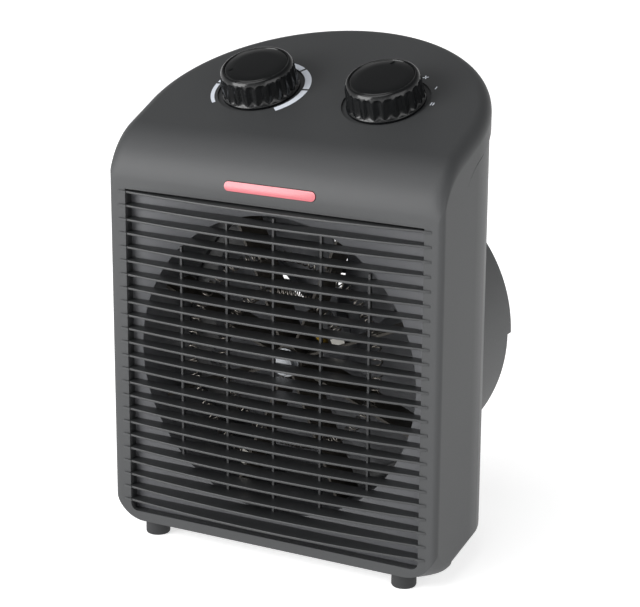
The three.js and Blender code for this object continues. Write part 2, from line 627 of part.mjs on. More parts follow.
const armAngle = (i) => ((i + 0.5) * 2 * Math.PI) / ARM_COUNT;
const coilClear = TERMINAL_SIZE + ARM_THICKNESS / 2 + 2 * FIT; // from an arm's middle to the wire's end
const coilFrom = armAngle(0) + coilClear / COIL_INNER;
const coilTo = armAngle(COIL_ARMS) - coilClear / COIL_OUTER;
const coilRadiusAt = (angle) => THREE.MathUtils.mapLinear(angle, coilFrom, coilTo, COIL_INNER, COIL_OUTER);

// Turns a geometry drawn along +X from the fan's axis to the given angle.
const atAngle = (geometry, angle) => geometry.rotateY(-angle).translate(0, 0, AXIS_Z);

function elementFrame() {
  const reach = DUCT_RADIUS * Math.cos(Math.PI / ROUND) - FIT;
  const rear = ELEMENT_FRONT + ELEMENT_DEPTH;
  const half = ARM_THICKNESS / 2;
  const notchHalf = COIL_RADIUS + 2 * FIT;
  const bodies = [solid(rodY(ELEMENT_HUB, ELEMENT_FRONT, rear))];
  const notches = [];
  for (let i = 0; i < ARM_COUNT; i += 1) {
    const arm = block([ELEMENT_HUB / 2, ELEMENT_FRONT, -half], [reach, rear, half]);
    bodies.push(solid(atAngle(arm, armAngle(i))));
  }
  for (let i = 1; i < COIL_ARMS; i += 1) {
    const radius = coilRadiusAt(armAngle(i));
    notches.push(solid(atAngle(
      block([radius - notchHalf, 0, -2], [radius + notchHalf, COIL_Y + notchHalf, 2]), armAngle(i))));
  }
  return join(bodies).subtract(join(notches)).subtract(solid(rodY(ELEMENT_HUB - 3, -FAR, FAR)));
}

// Coiled resistance wire laid in a spiral over the arms, from one terminal to the other.
function heatingCoil() {
  const stepsPerCurl = 8;
  const wireSides = 5;
  const helix = COIL_RADIUS - WIRE_RADIUS;
  const total = COIL_CURLS * stepsPerCurl;
  const straight = 2 * WIRE_RADIUS; // the ends run straight for one wire diameter
  const centre = (angle) => {
    const r = coilRadiusAt(angle);
    return new THREE.Vector3(r * Math.cos(angle), COIL_Y, AXIS_Z + r * Math.sin(angle));
  };
  const outward = (angle) => new THREE.Vector3(Math.cos(angle), 0, Math.sin(angle));
  const along = (angle) => new THREE.Vector3(-Math.sin(angle), 0, Math.cos(angle));
  const helixFrom = coilFrom + (2 * straight) / COIL_INNER;
  const helixTo = coilTo - (2 * straight) / COIL_OUTER;
  const path = [];
  for (let i = 0; i <= total; i += 1) {
    const angle = THREE.MathUtils.lerp(helixFrom, helixTo, i / total);
    const phase = (2 * Math.PI * i) / stepsPerCurl;
    path.push(centre(angle).addScaledVector(outward(angle), helix * Math.cos(phase))
      .add(new THREE.Vector3(0, helix * Math.sin(phase), 0)));
  }
  const lead = (angle, at, towards) => [straight, 2 * straight].map((run) => (
    at.clone().addScaledVector(along(angle), towards * run)));
  path.unshift(...lead(coilFrom, path[0], -1).reverse());
  path.push(...lead(coilTo, path.at(-1), 1));
  const rings = [];
  const side = new THREE.Vector3(0, 1, 0);
  path.forEach((point, i) => {
    const tangent = path[Math.min(i + 1, path.length - 1)].clone().sub(path[Math.max(i - 1, 0)]).normalize();
    side.addScaledVector(tangent, -side.dot(tangent)).normalize();
    const other = tangent.clone().cross(side);
    rings.push(Array.from({ length: wireSides }, (_, k) => {
      const turn = (2 * Math.PI * k) / wireSides;
      return point.clone().addScaledVector(side, WIRE_RADIUS * Math.cos(turn))
        .addScaledVector(other, WIRE_RADIUS * Math.sin(turn)).toArray();
    }));
  });
  let gap = Infinity;
  for (let i = 0; i < path.length; i += 1) {
    for (let j = i + stepsPerCurl / 2; j < path.length; j += 1) {
      gap = Math.min(gap, path[i].distanceTo(path[j]) - 2 * WIRE_RADIUS);
    }
  }
  console.log(`heating coil: least gap between its curls ${gap.toFixed(2)} mm`);
  return solid(loft(rings));
}

// A brass block on the side face of the arm where the wire ends; `towards` is the side that it is on.
function coilTerminal(arm, radius, towards) {
  const near = ARM_THICKNESS / 2 + FIT;
  const faces = [towards * near, towards * (near + TERMINAL_SIZE)].sort((a, b) => a - b);
  const half = COIL_RADIUS + 1;
  const shape = block([radius - half, COIL_Y - half, faces[0]], [radius + half, COIL_Y + half, faces[1]]);
  return solid(atAngle(shape, armAngle(arm)));
}

function thermalCutout() {
  const rear = ELEMENT_FRONT - FIT;
  const profile = [
    [0, rear - 6], [6, rear - 6], [6.5, rear - 5], [6.5, rear - 2], [8, rear - 2], [8, rear], [0, rear],
  ];
  return solid(turnedY(profile, 20));
}

// ---------------------------------------------------------------- fan and motor
function fanBlade(index) {
  const stations = 4;
  const rings = [];
  for (let i = 0; i <= stations; i += 1) {
    const share = i / stations;
    const radius = THREE.MathUtils.lerp(FAN_HUB - 2, FAN_RADIUS, share);
    const chord = THREE.MathUtils.lerp(ROOT_CHORD, TIP_CHORD, share) * (share === 1 ? 0.86 : 1);
    const pitch = THREE.MathUtils.degToRad(THREE.MathUtils.lerp(ROOT_PITCH, TIP_PITCH, share));
    const sweep = 0.25 * share ** 2 + (2 * Math.PI * index) / BLADE_COUNT;
    const corner = (u, v) => {
      // u runs along the chord, v through the thickness, and the camber lifts the middle of the chord
      const camber = 2 * (1 - (2 * u) ** 2);
      const across = u * chord * Math.cos(pitch) - v * BLADE_THICKNESS * Math.sin(pitch);
      const deep = u * chord * Math.sin(pitch) + v * BLADE_THICKNESS * Math.cos(pitch) + camber;
      const angle = sweep + across / radius;
      return [radius * Math.cos(angle), FAN_FRONT + FAN_DEPTH / 2 + deep, AXIS_Z + radius * Math.sin(angle)];
    };
    const lower = [-0.5, 0, 0.5].map((u) => corner(u, -0.5));
    const upper = [0.5, 0, -0.5].map((u) => corner(u, 0.5));
    rings.push([...lower, ...upper]);
  }
  return solid(loft(rings));
}

function fanImpeller() {
  const rear = FAN_FRONT + FAN_DEPTH;
  const cup = solid(turnedY([
    [0, FAN_FRONT], [FAN_HUB - 6, FAN_FRONT], [FAN_HUB - 1.5, FAN_FRONT + 1.5], [FAN_HUB, FAN_FRONT + 5],
    [FAN_HUB, rear], [FAN_HUB - 2, rear], [FAN_HUB - 2, FAN_FRONT + 4], [5, FAN_FRONT + 4],
    [5, rear], [0, rear],
  ], 28));
  const blades = Array.from({ length: BLADE_COUNT }, (_, i) => fanBlade(i));
  const inside = solid(rodY(FAN_HUB - 1, FAN_FRONT + 2, rear + 4, 0, AXIS_Z, 28));
  return join(blades).subtract(inside).add(cup).subtract(solid(rodY(SHAFT_RADIUS + FIT, -FAR, FAR)));
}

const shaftEnd = MOTOR_REAR - 2;

const motorShaft = () => solid(rodY(SHAFT_RADIUS, FAN_FRONT - 5, shaftEnd, 0, AXIS_Z, 12));

function fanNut() {
  return solid(rodY(4, FAN_FRONT - FIT - 3, FAN_FRONT - FIT, 0, AXIS_Z, 6))
    .subtract(solid(rodY(SHAFT_RADIUS + FIT, -FAR, FAR, 0, AXIS_Z, 12)));
}

function motorCan() {
  const inner = MOTOR_RADIUS - MOTOR_SHEET;
  const hole = BEARING_RADIUS + FIT;
  const floor = MOTOR_FRONT + 2 * MOTOR_SHEET;
  return solid(turnedY([
    [hole, MOTOR_FRONT], [MOTOR_RADIUS - 2, MOTOR_FRONT], [MOTOR_RADIUS, MOTOR_FRONT + 2],
    [MOTOR_RADIUS, MOTOR_REAR], [inner, MOTOR_REAR], [inner, floor], [hole, floor], [hole, MOTOR_FRONT],
  ], 24));
}

function motorEndCap() {
  const front = MOTOR_REAR + FIT;
  const plate = front + CAP_DEPTH / 2;
  const rear = front + CAP_DEPTH;
  const hole = BEARING_RADIUS + FIT;
  return solid(turnedY([
    [hole, front], [MOTOR_RADIUS, front], [MOTOR_RADIUS, plate], [hole + 3, plate],
    [hole + 2, rear], [hole, rear], [hole, front],
  ], 24));
}

function motorRotor() {
  const from = MOTOR_FRONT + BEARING_LENGTH + 1;
  const to = MOTOR_REAR - BEARING_LENGTH - 1;
  const slots = Array.from({ length: 5 }, (_, i) => solid(atAngle(
    block([ROTOR_RADIUS / 2, from - 1, -1], [ROTOR_RADIUS + 2, to + 1, 1]), (2 * Math.PI * i) / 5)));
  return solid(rodY(ROTOR_RADIUS, from, to, 0, AXIS_Z, 24))
    .subtract(join(slots)).subtract(solid(rodY(SHAFT_RADIUS + FIT, -FAR, FAR, 0, AXIS_Z, 12)));
}

function bearing(from) {
  return solid(rodY(BEARING_RADIUS, from, from + BEARING_LENGTH, 0, AXIS_Z, 20))
    .subtract(solid(rodY(SHAFT_RADIUS + FIT, -FAR, FAR, 0, AXIS_Z, 12)));
}

const bracketAngle = (i) => ((i + 0.5) * 2 * Math.PI) / BRACKET_ARMS;
const housingInner = HOUSING_RADIUS - HOUSING_WALL;
const bracketReach = housingInner * Math.cos(Math.PI / ROUND) - FIT;
const bracketScrewRadius = bracketReach - 4.5;

function motorBracket() {
  const rear = BRACKET_FRONT + BRACKET_THICKNESS;
  const half = BRACKET_ARM_WIDTH / 2;
  const arms = Array.from({ length: BRACKET_ARMS }, (_, i) => solid(atAngle(
    block([MOTOR_RADIUS / 2, BRACKET_FRONT, -half], [bracketReach - 0.3, rear, half]), bracketAngle(i))));
  const holes = Array.from({ length: BRACKET_ARMS }, (_, i) => solid(atAngle(
    rodY(SCREW_SHANK + FIT, BRACKET_FRONT - 1, rear + 1, bracketScrewRadius, 0, 12), bracketAngle(i))));
  return join([solid(rodY(MOTOR_RADIUS + 3, BRACKET_FRONT, rear, 0, AXIS_Z, 32)), ...arms])
    .subtract(join(holes)).subtract(solid(rodY(BEARING_RADIUS + 1, -FAR, FAR)));
}

// A pan-head screw along y whose head's seat is at `seat`; `points` is the way its tip points.
function screwY(seat, points, shank, x, z) {
  const head = [seat - points * FIT, seat - points * (FIT + SCREW_HEAD_HEIGHT)].sort((a, b) => a - b);
  const stem = [seat - points, seat + points * shank].sort((a, b) => a - b);
  return solid(rodY(SCREW_HEAD, head[0], head[1], x, z))
    .add(solid(rodY(SCREW_SHANK, stem[0], stem[1], x, z, 12)));
}

function bracketScrew(i) {
  const x = bracketScrewRadius * Math.cos(bracketAngle(i));
  const z = AXIS_Z + bracketScrewRadius * Math.sin(bracketAngle(i));
  return screwY(BRACKET_FRONT, 1, 12, x, z);
}

// ---------------------------------------------------------------- rear cover and intake grille
const railY = BRACKET_FRONT + BRACKET_THICKNESS + FIT; // the bracket's arms rest on these bosses

function rearCover() {
  const shell = rearEnvelope(0).subtract(rearEnvelope(REAR_WALL)).subtract(seamRegion(FIT));
  const lipIn = WALL + FIT;
  const lip = frontEnvelope(lipIn).subtract(frontEnvelope(lipIn + LIP_THICKNESS))
    .intersect(seamRegion(LIP_LENGTH)).subtract(seamRegion(-LIP_LENGTH));
  const front = DUCT_REAR + FIT;
  const housing = solid(rodY(HOUSING_RADIUS, front, HOUSING_REAR, 0, AXIS_Z, ROUND));
  const visor = solid(rodY(HOUSING_RADIUS, HOUSING_REAR - 1, HOUSING_REAR + VISOR_DEPTH, 0, AXIS_Z, ROUND))
    .subtract(solid(rodY(HOUSING_RADIUS - VISOR_WALL, -FAR, FAR, 0, AXIS_Z, ROUND)))
    .intersect(solid(block([-FAR, -FAR, AXIS_Z], [FAR, FAR, FAR])));
  const inside = rearEnvelope(REAR_WALL / 2);
  const bore = solid(rodY(housingInner, -FAR, HOUSING_REAR - REAR_WALL, 0, AXIS_Z, ROUND))
    .add(solid(rodY(INTAKE_RADIUS, 0, FAR, 0, AXIS_Z, ROUND)));
  const added = [];
  const cut = [];
  for (const side of SIDES) {
    const x = side * TOP_SCREW_X;
    added.push(solid(rodY(5.8, TOP_SCREW_SEAT - 2, FAR, x, TOP_SCREW_Z)).intersect(inside));
    cut.push(solid(rodY(SCREW_HEAD + 2 * FIT, TOP_SCREW_SEAT, FAR, x, TOP_SCREW_Z)));
    cut.push(solid(rodY(SCREW_SHANK + FIT, 0, FAR, x, TOP_SCREW_Z, 12)));
    const seatZ = GROUND_CLEARANCE + 2.7;
    const floorX = side * BOTTOM_SCREW_X;
    added.push(solid(rodZ(5.2, GROUND_CLEARANCE + 1.6, GROUND_CLEARANCE + 6.2, floorX, BOTTOM_SCREW_Y)));
    cut.push(solid(rodZ(SCREW_HEAD + FIT, 0, seatZ, floorX, BOTTOM_SCREW_Y)));
    cut.push(solid(rodZ(SCREW_SHANK + FIT, 0, GROUND_CLEARANCE + 8, floorX, BOTTOM_SCREW_Y, 12)));
    cut.push(solid(rodZ(FOOT_PLUG + FIT, 0, REAR_FOOT_TOP + 3, side * REAR_FOOT_X, REAR_FOOT_Y)));
  }
  const glandBoss = GLAND_RADIUS + 1.5 * GLAND_COLLAR;
  added.push(solid(rodY(glandBoss, GLAND_REAR - GLAND_LENGTH + 1, GLAND_REAR, GLAND_X, GLAND_Z, 24)));
  cut.push(solid(rodY(GLAND_RADIUS + FIT, 0, FAR, GLAND_X, GLAND_Z)));
  cut.push(solid(rodY(GLAND_RADIUS + GLAND_COLLAR + FIT, GLAND_REAR, FAR, GLAND_X, GLAND_Z, 20)));
  const outer = join([shell, lip, housing, visor, ...added]).subtract(bore);
  const bosses = Array.from({ length: BRACKET_ARMS }, (_, i) => solid(atAngle(
    block([bracketScrewRadius - 4, railY, -5], [HOUSING_RADIUS - 1, railY + 12, 5]), bracketAngle(i))));
  const pilots = Array.from({ length: BRACKET_ARMS }, (_, i) => solid(atAngle(
    rodY(SCREW_SHANK + FIT, railY - 1, railY + 11, bracketScrewRadius, 0, 12), bracketAngle(i))));
  return join([outer, ...bosses]).subtract(join([...cut, ...pilots]));
}

function rearGrille() {
  const front = INTAKE_FRONT;
  const rear = front + INTAKE_FLANGE;
  const end = front + INTAKE_DEPTH;
  const outer = INTAKE_RADIUS + INTAKE_RIM;
  const inner = INTAKE_RADIUS - 3;
  const outline = [
    [inner, front], [outer, front], [outer, rear], [INTAKE_RADIUS - FIT, rear],
    [INTAKE_RADIUS - FIT, end], [inner, end], [inner, front],
  ];
  const inside = solid(rodY(INTAKE_RADIUS - 1.5, -FAR, end - 0.2, 0, AXIS_Z, ROUND));
  const bars = [];
  const count = Math.floor((INTAKE_RADIUS - 4) / INTAKE_BAR_PITCH);
  for (let i = -count; i <= count; i += 1) {
    const z = AXIS_Z + i * INTAKE_BAR_PITCH;
    const half = INTAKE_BAR_WIDTH / 2;
    bars.push(solid(block([-FAR, front + 1.4, z - half], [FAR, FAR, z + half])));
  }
  for (const side of SIDES) {
    const x = side * INTAKE_RIB_X;
    const half = INTAKE_BAR_WIDTH / 2;
    bars.push(solid(block([x - half, front + 0.2, 0], [x + half, front + 1.8, FAR])));
  }
  return solid(turnedY(outline)).add(join(bars).intersect(inside));
}

function cordGland() {
  const front = GLAND_REAR - GLAND_LENGTH;
  const collar = GLAND_REAR + FIT;
  const bore = GLAND_RADIUS - GLAND_WALL;
  const outer = GLAND_RADIUS + GLAND_COLLAR;
  const profile = [
    [bore, front], [GLAND_RADIUS, front], [GLAND_RADIUS, collar], [outer, collar],
    [outer, collar + 1.3], [outer - 1, collar + 2.3], [bore, collar + 2.3], [bore, front],
  ];
  return solid(turnedY(profile, 20).translate(GLAND_X, 0, GLAND_Z - AXIS_Z));
}

// The lead inside the casing: from the gland it lies round the duct's left side, between the duct and the
// casing, and rises under the deck to the selector switch.
function supplyLead() {
  const gland = new THREE.Vector3(GLAND_X, GLAND_REAR - GLAND_LENGTH - FIT, GLAND_Z);
  const switchSide = KNOB_SPACING / 2 - SWITCH_SIZE / 2 - FIT;
  const drop = -deckUnderside + SWITCH_DEPTH / 2;
  const terminal = new THREE.Vector3(
    switchSide, deckPoint.y + drop * Math.sin(SLOPE), deckPoint.z - drop * Math.cos(SLOPE));
  const ductOutside = DUCT_RADIUS + DUCT_WALL;
  const caseInside = HALF - SIDE_TUCK - REAR_WALL;
  const beside = (ductOutside + caseInside) / 2; // radius about the fan's axis
  const roundDuct = (degrees, behind) => {
    const angle = THREE.MathUtils.degToRad(degrees);
    return new THREE.Vector3(beside * Math.cos(angle), DUCT_REAR - behind, AXIS_Z + beside * Math.sin(angle));
  };
  const from = (point, x, y, z) => point.clone().add(new THREE.Vector3(x, y, z));
  const route = new THREE.CatmullRomCurve3([
    gland, from(gland, 0, -LEAD_RUN, 0),
    roundDuct(218, 2), roundDuct(205, 10), roundDuct(192, 15), roundDuct(178, 16), roundDuct(162, 15),
    roundDuct(145, 12), roundDuct(125, 8), roundDuct(108, 3),
    from(terminal, -SWITCH_SIZE / 2, 0, -SWITCH_DEPTH), from(terminal, -SWITCH_SIZE / 4, 0, 0), terminal,
  ], false, 'centripetal');
  const section = new THREE.Shape();
  section.absarc(0, 0, LEAD_RADIUS, 0, 2 * Math.PI, false);
  const drawn = { steps: 32, extrudePath: route, curveSegments: 3, bevelEnabled: false };
  return solid(new THREE.ExtrudeGeometry(section, drawn));
}

// ---------------------------------------------------------------- feet and screws
function frontFoot(side) {
  const top = GROUND_CLEARANCE - FIT;
  const profile = [
    [0, 0], [FOOT_RADIUS - 0.8, 0], [FOOT_RADIUS, 0.8], [FOOT_RADIUS, top],
    [FOOT_PLUG, top], [FOOT_PLUG, GROUND_CLEARANCE + WALL - 0.4], [0, GROUND_CLEARANCE + WALL - 0.4],
  ];
  return solid(turnedZ(profile, 24).translate(side * FRONT_FOOT_X, FRONT_FOOT_Y, 0));
}

function rearFoot(side) {
  const x = side * REAR_FOOT_X;
  const top = REAR_FOOT_TOP;
  const profile = [[0, 0], [FOOT_RADIUS - 0.8, 0], [FOOT_RADIUS, 0.8], [FOOT_RADIUS, top], [0, top]];
  const post = solid(turnedZ(profile, 24).translate(x, REAR_FOOT_Y, 0)).subtract(rearEnvelope(-FIT));
  return post.add(solid(rodZ(FOOT_PLUG, 1, REAR_FOOT_TOP - 0.6, x, REAR_FOOT_Y)));
}

function bottomScrew(side) {
  const x = side * BOTTOM_SCREW_X;
  const seat = GROUND_CLEARANCE + 2.7;
  const head = solid(rodZ(SCREW_HEAD, seat - FIT - SCREW_HEAD_HEIGHT, seat - FIT, x, BOTTOM_SCREW_Y));
  return head.add(solid(rodZ(SCREW_SHANK, seat - 1, seat + 11, x, BOTTOM_SCREW_Y, 12)));
}

// ---------------------------------------------------------------- materials
function finish(color, roughness, metalness = 0) {
  return new THREE.MeshStandardMaterial({ color, roughness, metalness });
}

const casingPlastic = finish(0x3b3c3e, 0.5);
const knobPlastic = finish(0x151617, 0.2);
const lensPlastic = finish(0xd8848a, 0.25);
const ductPlastic = finish(0x47484b, 0.6);
const mica = finish(0xb9ab8e, 0.7);
const resistanceWire = finish(0x9a9794, 0.35, 1);
const steel = finish(0xa9abad, 0.4, 1);
const brass = finish(0xb8963e, 0.35, 1);
const rubber = finish(0x1c1d1e, 0.85);
const lampGlass = finish(0xf0c8b0, 0.1);
const copperLead = finish(0x6b2a22, 0.6);
const phenolic = finish(0x2a2220, 0.5);

// ---------------------------------------------------------------- assembly
const heater = new THREE.Group();
const parts = new THREE.Group();
heater.add(parts);

function place(name, body, material) {
  parts.add(piece(name, body, material));
}

place('front_cover', frontCover(), casingPlastic);
place('front_grille', frontGrille(), casingPlastic);
place('rear_cover', rearCover(), casingPlastic);
place('rear_grille', rearGrille(), casingPlastic);
place('indicator_lens', indicatorLens(), lensPlastic);
place('neon_lamp', neonLamp(), lampGlass);
place('lamp_holder', lampHolder(), phenolic);
place('air_duct', airDuct(), ductPlastic);
place('element_frame', elementFrame(), mica);
place('heating_coil', heatingCoil(), resistanceWire);
place('coil_terminal_inner', coilTerminal(0, COIL_INNER, 1), brass);
place('coil_terminal_outer', coilTerminal(COIL_ARMS, COIL_OUTER, -1), brass);
place('thermal_cutout', thermalCutout(), steel);
place('fan_impeller', fanImpeller(), ductPlastic);
place('fan_nut', fanNut(), brass);
place('motor_shaft', motorShaft(), steel);
place('motor_rotor', motorRotor(), steel);
place('motor_can', motorCan(), steel);
place('motor_end_cap', motorEndCap(), phenolic);
place('front_bearing', bearing(MOTOR_FRONT - 1), brass);
place('rear_bearing', bearing(MOTOR_REAR - BEARING_LENGTH + 2.5), brass);
place('motor_bracket', motorBracket(), steel);
for (let i = 0; i < BRACKET_ARMS; i += 1) place(`bracket_screw_${i + 1}`, bracketScrew(i), steel);
place('cord_gland', cordGland(), rubber);
place('supply_lead', supplyLead(), copperLead);
for (const side of SIDES) {
  const hand = side < 0 ? 'left' : 'right';
  place(`front_foot_${hand}`, frontFoot(side), rubber);
  place(`rear_foot_${hand}`, rearFoot(side), rubber);
  place(`top_screw_${hand}`, screwY(TOP_SCREW_SEAT, -1, 14, side * TOP_SCREW_X, TOP_SCREW_Z), steel);
  place(`bottom_screw_${hand}`, bottomScrew(side), steel);
}

// Each control stands on the deck in its own group, whose z axis is the spindle's.
function control(side, bodies) {
  const group = new THREE.Group();
  group.position.set(side * deckPoint.x, deckPoint.y, deckPoint.z);
  group.rotation.x = SLOPE;
  for (const [name, body, material] of bodies) group.add(piece(name, body, material));
  parts.add(group);
}

const lowerLeft = THREE.MathUtils.degToRad(215);
control(-1, [
  ['thermostat_knob', knob(lowerLeft), knobPlastic],
  ['thermostat_spindle', spindle(), brass],
  ['thermostat_nut', clampNut(), steel],
  ['thermostat', thermostat(), phenolic],
]);
control(1, [
  ['selector_knob', knob(Math.PI / 2), knobPlastic],
  ['selector_spindle', spindle(), phenolic],
  ['selector_nut', clampNut(), steel],
  ['selector_switch', selectorSwitch(), phenolic],
]);

parts.position.y = -(HOUSING_REAR + VISOR_DEPTH - LOUVRE_BOW) / 2;

export default heater;
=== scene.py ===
"""An upright fan heater in a plain studio: bowed louvres, a sloped deck with two knobs, a round fan housing.

Sizes are in millimetres with the front frame's face on y = 0. Each finished mesh is brought to metres and to
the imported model's place, whose origin is on the floor under the middle of the heater.
"""
import logging
import math
from dataclasses import dataclass, field
from enum import Enum
from functools import cache
from typing import Callable, Iterable, Sequence

import bmesh
import bpy
from mathutils import Matrix, Vector


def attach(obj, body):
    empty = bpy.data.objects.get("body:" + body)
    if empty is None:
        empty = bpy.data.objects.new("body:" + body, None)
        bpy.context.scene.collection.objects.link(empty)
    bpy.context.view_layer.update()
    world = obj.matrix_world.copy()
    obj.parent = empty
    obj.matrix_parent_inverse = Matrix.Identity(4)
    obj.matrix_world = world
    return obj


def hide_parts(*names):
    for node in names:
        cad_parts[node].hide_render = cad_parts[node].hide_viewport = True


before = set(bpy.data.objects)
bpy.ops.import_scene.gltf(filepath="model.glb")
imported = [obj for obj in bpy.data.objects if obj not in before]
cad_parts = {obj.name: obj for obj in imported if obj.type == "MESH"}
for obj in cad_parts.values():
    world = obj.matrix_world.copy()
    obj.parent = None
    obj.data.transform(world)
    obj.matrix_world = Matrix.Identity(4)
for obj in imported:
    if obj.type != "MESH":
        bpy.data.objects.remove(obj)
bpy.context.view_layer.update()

log = logging.getLogger("fan_heater")

MM = 0.001
MIDDLE_Y = 61.65  # from the front frame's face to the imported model's origin
WELD = 0.0005  # points nearer than this are one
Point = tuple[float, float, float]
Profile = Sequence[tuple[float, float]]


class Combine(Enum):
    """What a tool does to the mesh that it is applied to."""

    CUT = "DIFFERENCE"
    KEEP = "INTERSECT"
    JOIN = "UNION"


class Body(Enum):
    """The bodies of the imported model."""

    CASING = "casing"
    THERMOSTAT = "thermostat_dial"
    SELECTOR = "selector_dial"
    FAN = "fan"


class Axis(Enum):
    """The way a rod or a turned piece lies, as the turn that lays a z axis there."""

    X = (0.0, math.pi / 2, 0.0)
    Y = (-math.pi / 2, 0.0, 0.0)
    Z = (0.0, 0.0, 0.0)


# ------------------------------------------------------------------ modelling by hand
def only(obj: bpy.types.Object) -> bpy.types.Object:
    """Select one object, and nothing else, and make it the active one.

    Args:
        obj: The object to work on.

    Returns:
        The same object.
    """
    if bpy.context.object and bpy.context.object.mode != "OBJECT":
        bpy.ops.object.mode_set(mode="OBJECT")
    bpy.ops.object.select_all(action="DESELECT")
    obj.select_set(True)
    bpy.context.view_layer.objects.active = obj
    return obj


def settle(obj: bpy.types.Object) -> bpy.types.Object:
    """Put an object's place, turn and scale into its mesh."""
    only(obj)
    bpy.ops.object.transform_apply(location=True, rotation=True, scale=True)
    return obj


def link(name: str, data: bpy.types.ID) -> bpy.types.Object:
    """Make an object from its data and put it into the scene."""
    obj = bpy.data.objects.new(name, data)
    bpy.context.collection.objects.link(obj)
    return obj


def face_out(obj: bpy.types.Object, weld: bool = True) -> bpy.types.Object:
    """Turn a closed mesh's faces outward.

    Args:
        obj: The mesh.
        weld: Whether points that lie together become one first.

    Returns:
        The same object.
    """
    only(obj)
    bpy.ops.object.mode_set(mode="EDIT")
    bpy.ops.mesh.select_all(action="SELECT")
    if weld:
        bpy.ops.mesh.remove_doubles(threshold=WELD)
    bpy.ops.mesh.normals_make_consistent(inside=False)
    bpy.ops.object.mode_set(mode="OBJECT")
    return obj


def add_box(name: str, low: Point, high: Point) -> bpy.types.Object:
    """Add a box between two corners.

    Args:
        name: Name of the new object.
        low: Its lowest corner.
        high: Its highest corner.

    Returns:
        The box.
    """
    bpy.ops.object.select_all(action="DESELECT")
    middle = [(a + b) / 2 for a, b in zip(low, high)]
    bpy.ops.mesh.primitive_cube_add(size=1, location=middle)
    box = bpy.context.object
    box.name = name
    box.scale = [b - a for a, b in zip(low, high)]
    return settle(box)


def add_rod(name: str, radius: float, start: float, end: float, axis: Axis = Axis.Y,
            at: tuple[float, float] = (0.0, 0.0), sides: int = 48) -> bpy.types.Object:
    """Add a cylinder that runs along an axis from one place to another.

    Args:
        name: Name of the new object.
        radius: Its radius.
        start: Where it starts on its axis.
        end: Where it ends.
        axis: The axis that it runs along.
        at: Its place on the two other axes, in their order.
        sides: Number of its sides.

    Returns:
        The cylinder.
    """
    middle = (start + end) / 2
    place = {
        Axis.X: (middle, at[0], at[1]),
        Axis.Y: (at[0], middle, at[1]),
        Axis.Z: (at[0], at[1], middle),
    }[axis]
    bpy.ops.object.select_all(action="DESELECT")
    bpy.ops.mesh.primitive_cylinder_add(
        vertices=sides, radius=radius, depth=end - start, location=place, rotation=axis.value)
    rod = bpy.context.object
    rod.name = name
    return settle(rod)


def add_turned(name: str, profile: Profile, sides: int = 96) -> bpy.types.Object:
    """Draw a turned piece about z by extruding and scaling the top of a disc, ring after ring.

    Args:
        name: Name of the new object.
        profile: Its radius and height at each ring, from the bottom up. The last radius may be 0.
        sides: Number of its sides.

    Returns:
        The turned piece.
    """
    bpy.ops.object.select_all(action="DESELECT")
    (radius, height), *rest = profile
    bpy.ops.mesh.primitive_circle_add(vertices=sides, radius=radius, fill_type="NGON", location=(0, 0, height))
    turned = settle(bpy.context.object)
    turned.name = name
    bpy.ops.object.mode_set(mode="EDIT")
    bpy.ops.mesh.select_all(action="SELECT")
    for r, h in rest:
        bpy.ops.mesh.extrude_region_move(TRANSFORM_OT_translate={"value": (0, 0, h - height)})
        scale = max(r, 0.001) / radius
        bpy.ops.transform.resize(value=(scale, scale, 1), center_override=(0, 0, h))
        radius, height = max(r, 0.001), h
    return face_out(turned)


def add_profile(name: str, outline: Profile, start: float, end: float, axis: Axis) -> bpy.types.Object:
    """Draw an outline from a disc whose corners are moved, and extrude it along an axis.

    Args:
        name: Name of the new object.
        outline: Its corners on the two other axes, in their order.
        start: Where it starts on its axis.
        end: Where it ends.
        axis: The axis that it is extruded along.

    Returns:
        The extruded piece.
    """
    def corner(a: float, b: float) -> Point:
        """Return an outline's corner at the start of the extrusion."""
        return {Axis.X: (start, a, b), Axis.Y: (a, start, b), Axis.Z: (a, b, start)}[axis]

    bpy.ops.object.select_all(action="DESELECT")
    bpy.ops.mesh.primitive_circle_add(vertices=len(outline), fill_type="NGON")
    drawn = bpy.context.object
    drawn.name = name
    for vertex, (a, b) in zip(drawn.data.vertices, outline):
        vertex.co = corner(a, b)
    run = end - start
    step = {Axis.X: (run, 0, 0), Axis.Y: (0, run, 0), Axis.Z: (0, 0, run)}[axis]
    bpy.ops.object.mode_set(mode="EDIT")
    bpy.ops.mesh.select_all(action="SELECT")
    bpy.ops.mesh.extrude_region_move(TRANSFORM_OT_translate={"value": step})
    return face_out(drawn, weld=False)


def loft(name: str, rings: Sequence[Sequence[Point]]) -> bpy.types.Object:
    """Skin rings of points; no operator gives the casing's mixed roundings, so this mesh is made from its points.

    Args:
        name: Name of the new object.
        rings: Rings with the same number of points, from the bottom up. Both ends are closed.

    Returns:
        The closed skin.
    """
    count = len(rings[0])
    points = [point for ring in rings for point in ring]
    faces = [list(range(count))[::-1], [(len(rings) - 1) * count + i for i in range(count)]]
    for j in range(len(rings) - 1):
        for i in range(count):
            k = (i + 1) % count
            faces.append([j * count + i, j * count + k, (j + 1) * count + k, (j + 1) * count + i])
    mesh = bpy.data.meshes.new(name)
    mesh.from_pydata(points, [], faces)
    return face_out(link(name, mesh))


def apply_modifier(obj: bpy.types.Object, kind: str, **settings: object) -> bpy.types.Object:
    """Add a modifier with its settings and apply it.

    Args:
        obj: The object to change.
        kind: Blender's name for the modifier's type.
        settings: The modifier's properties.

    Returns:
        The same object.
    """
    only(obj)
    modifier = obj.modifiers.new(kind.lower(), kind)
    for key, value in settings.items():
        setattr(modifier, key, value)
    bpy.ops.object.modifier_apply(modifier=modifier.name)
    return obj


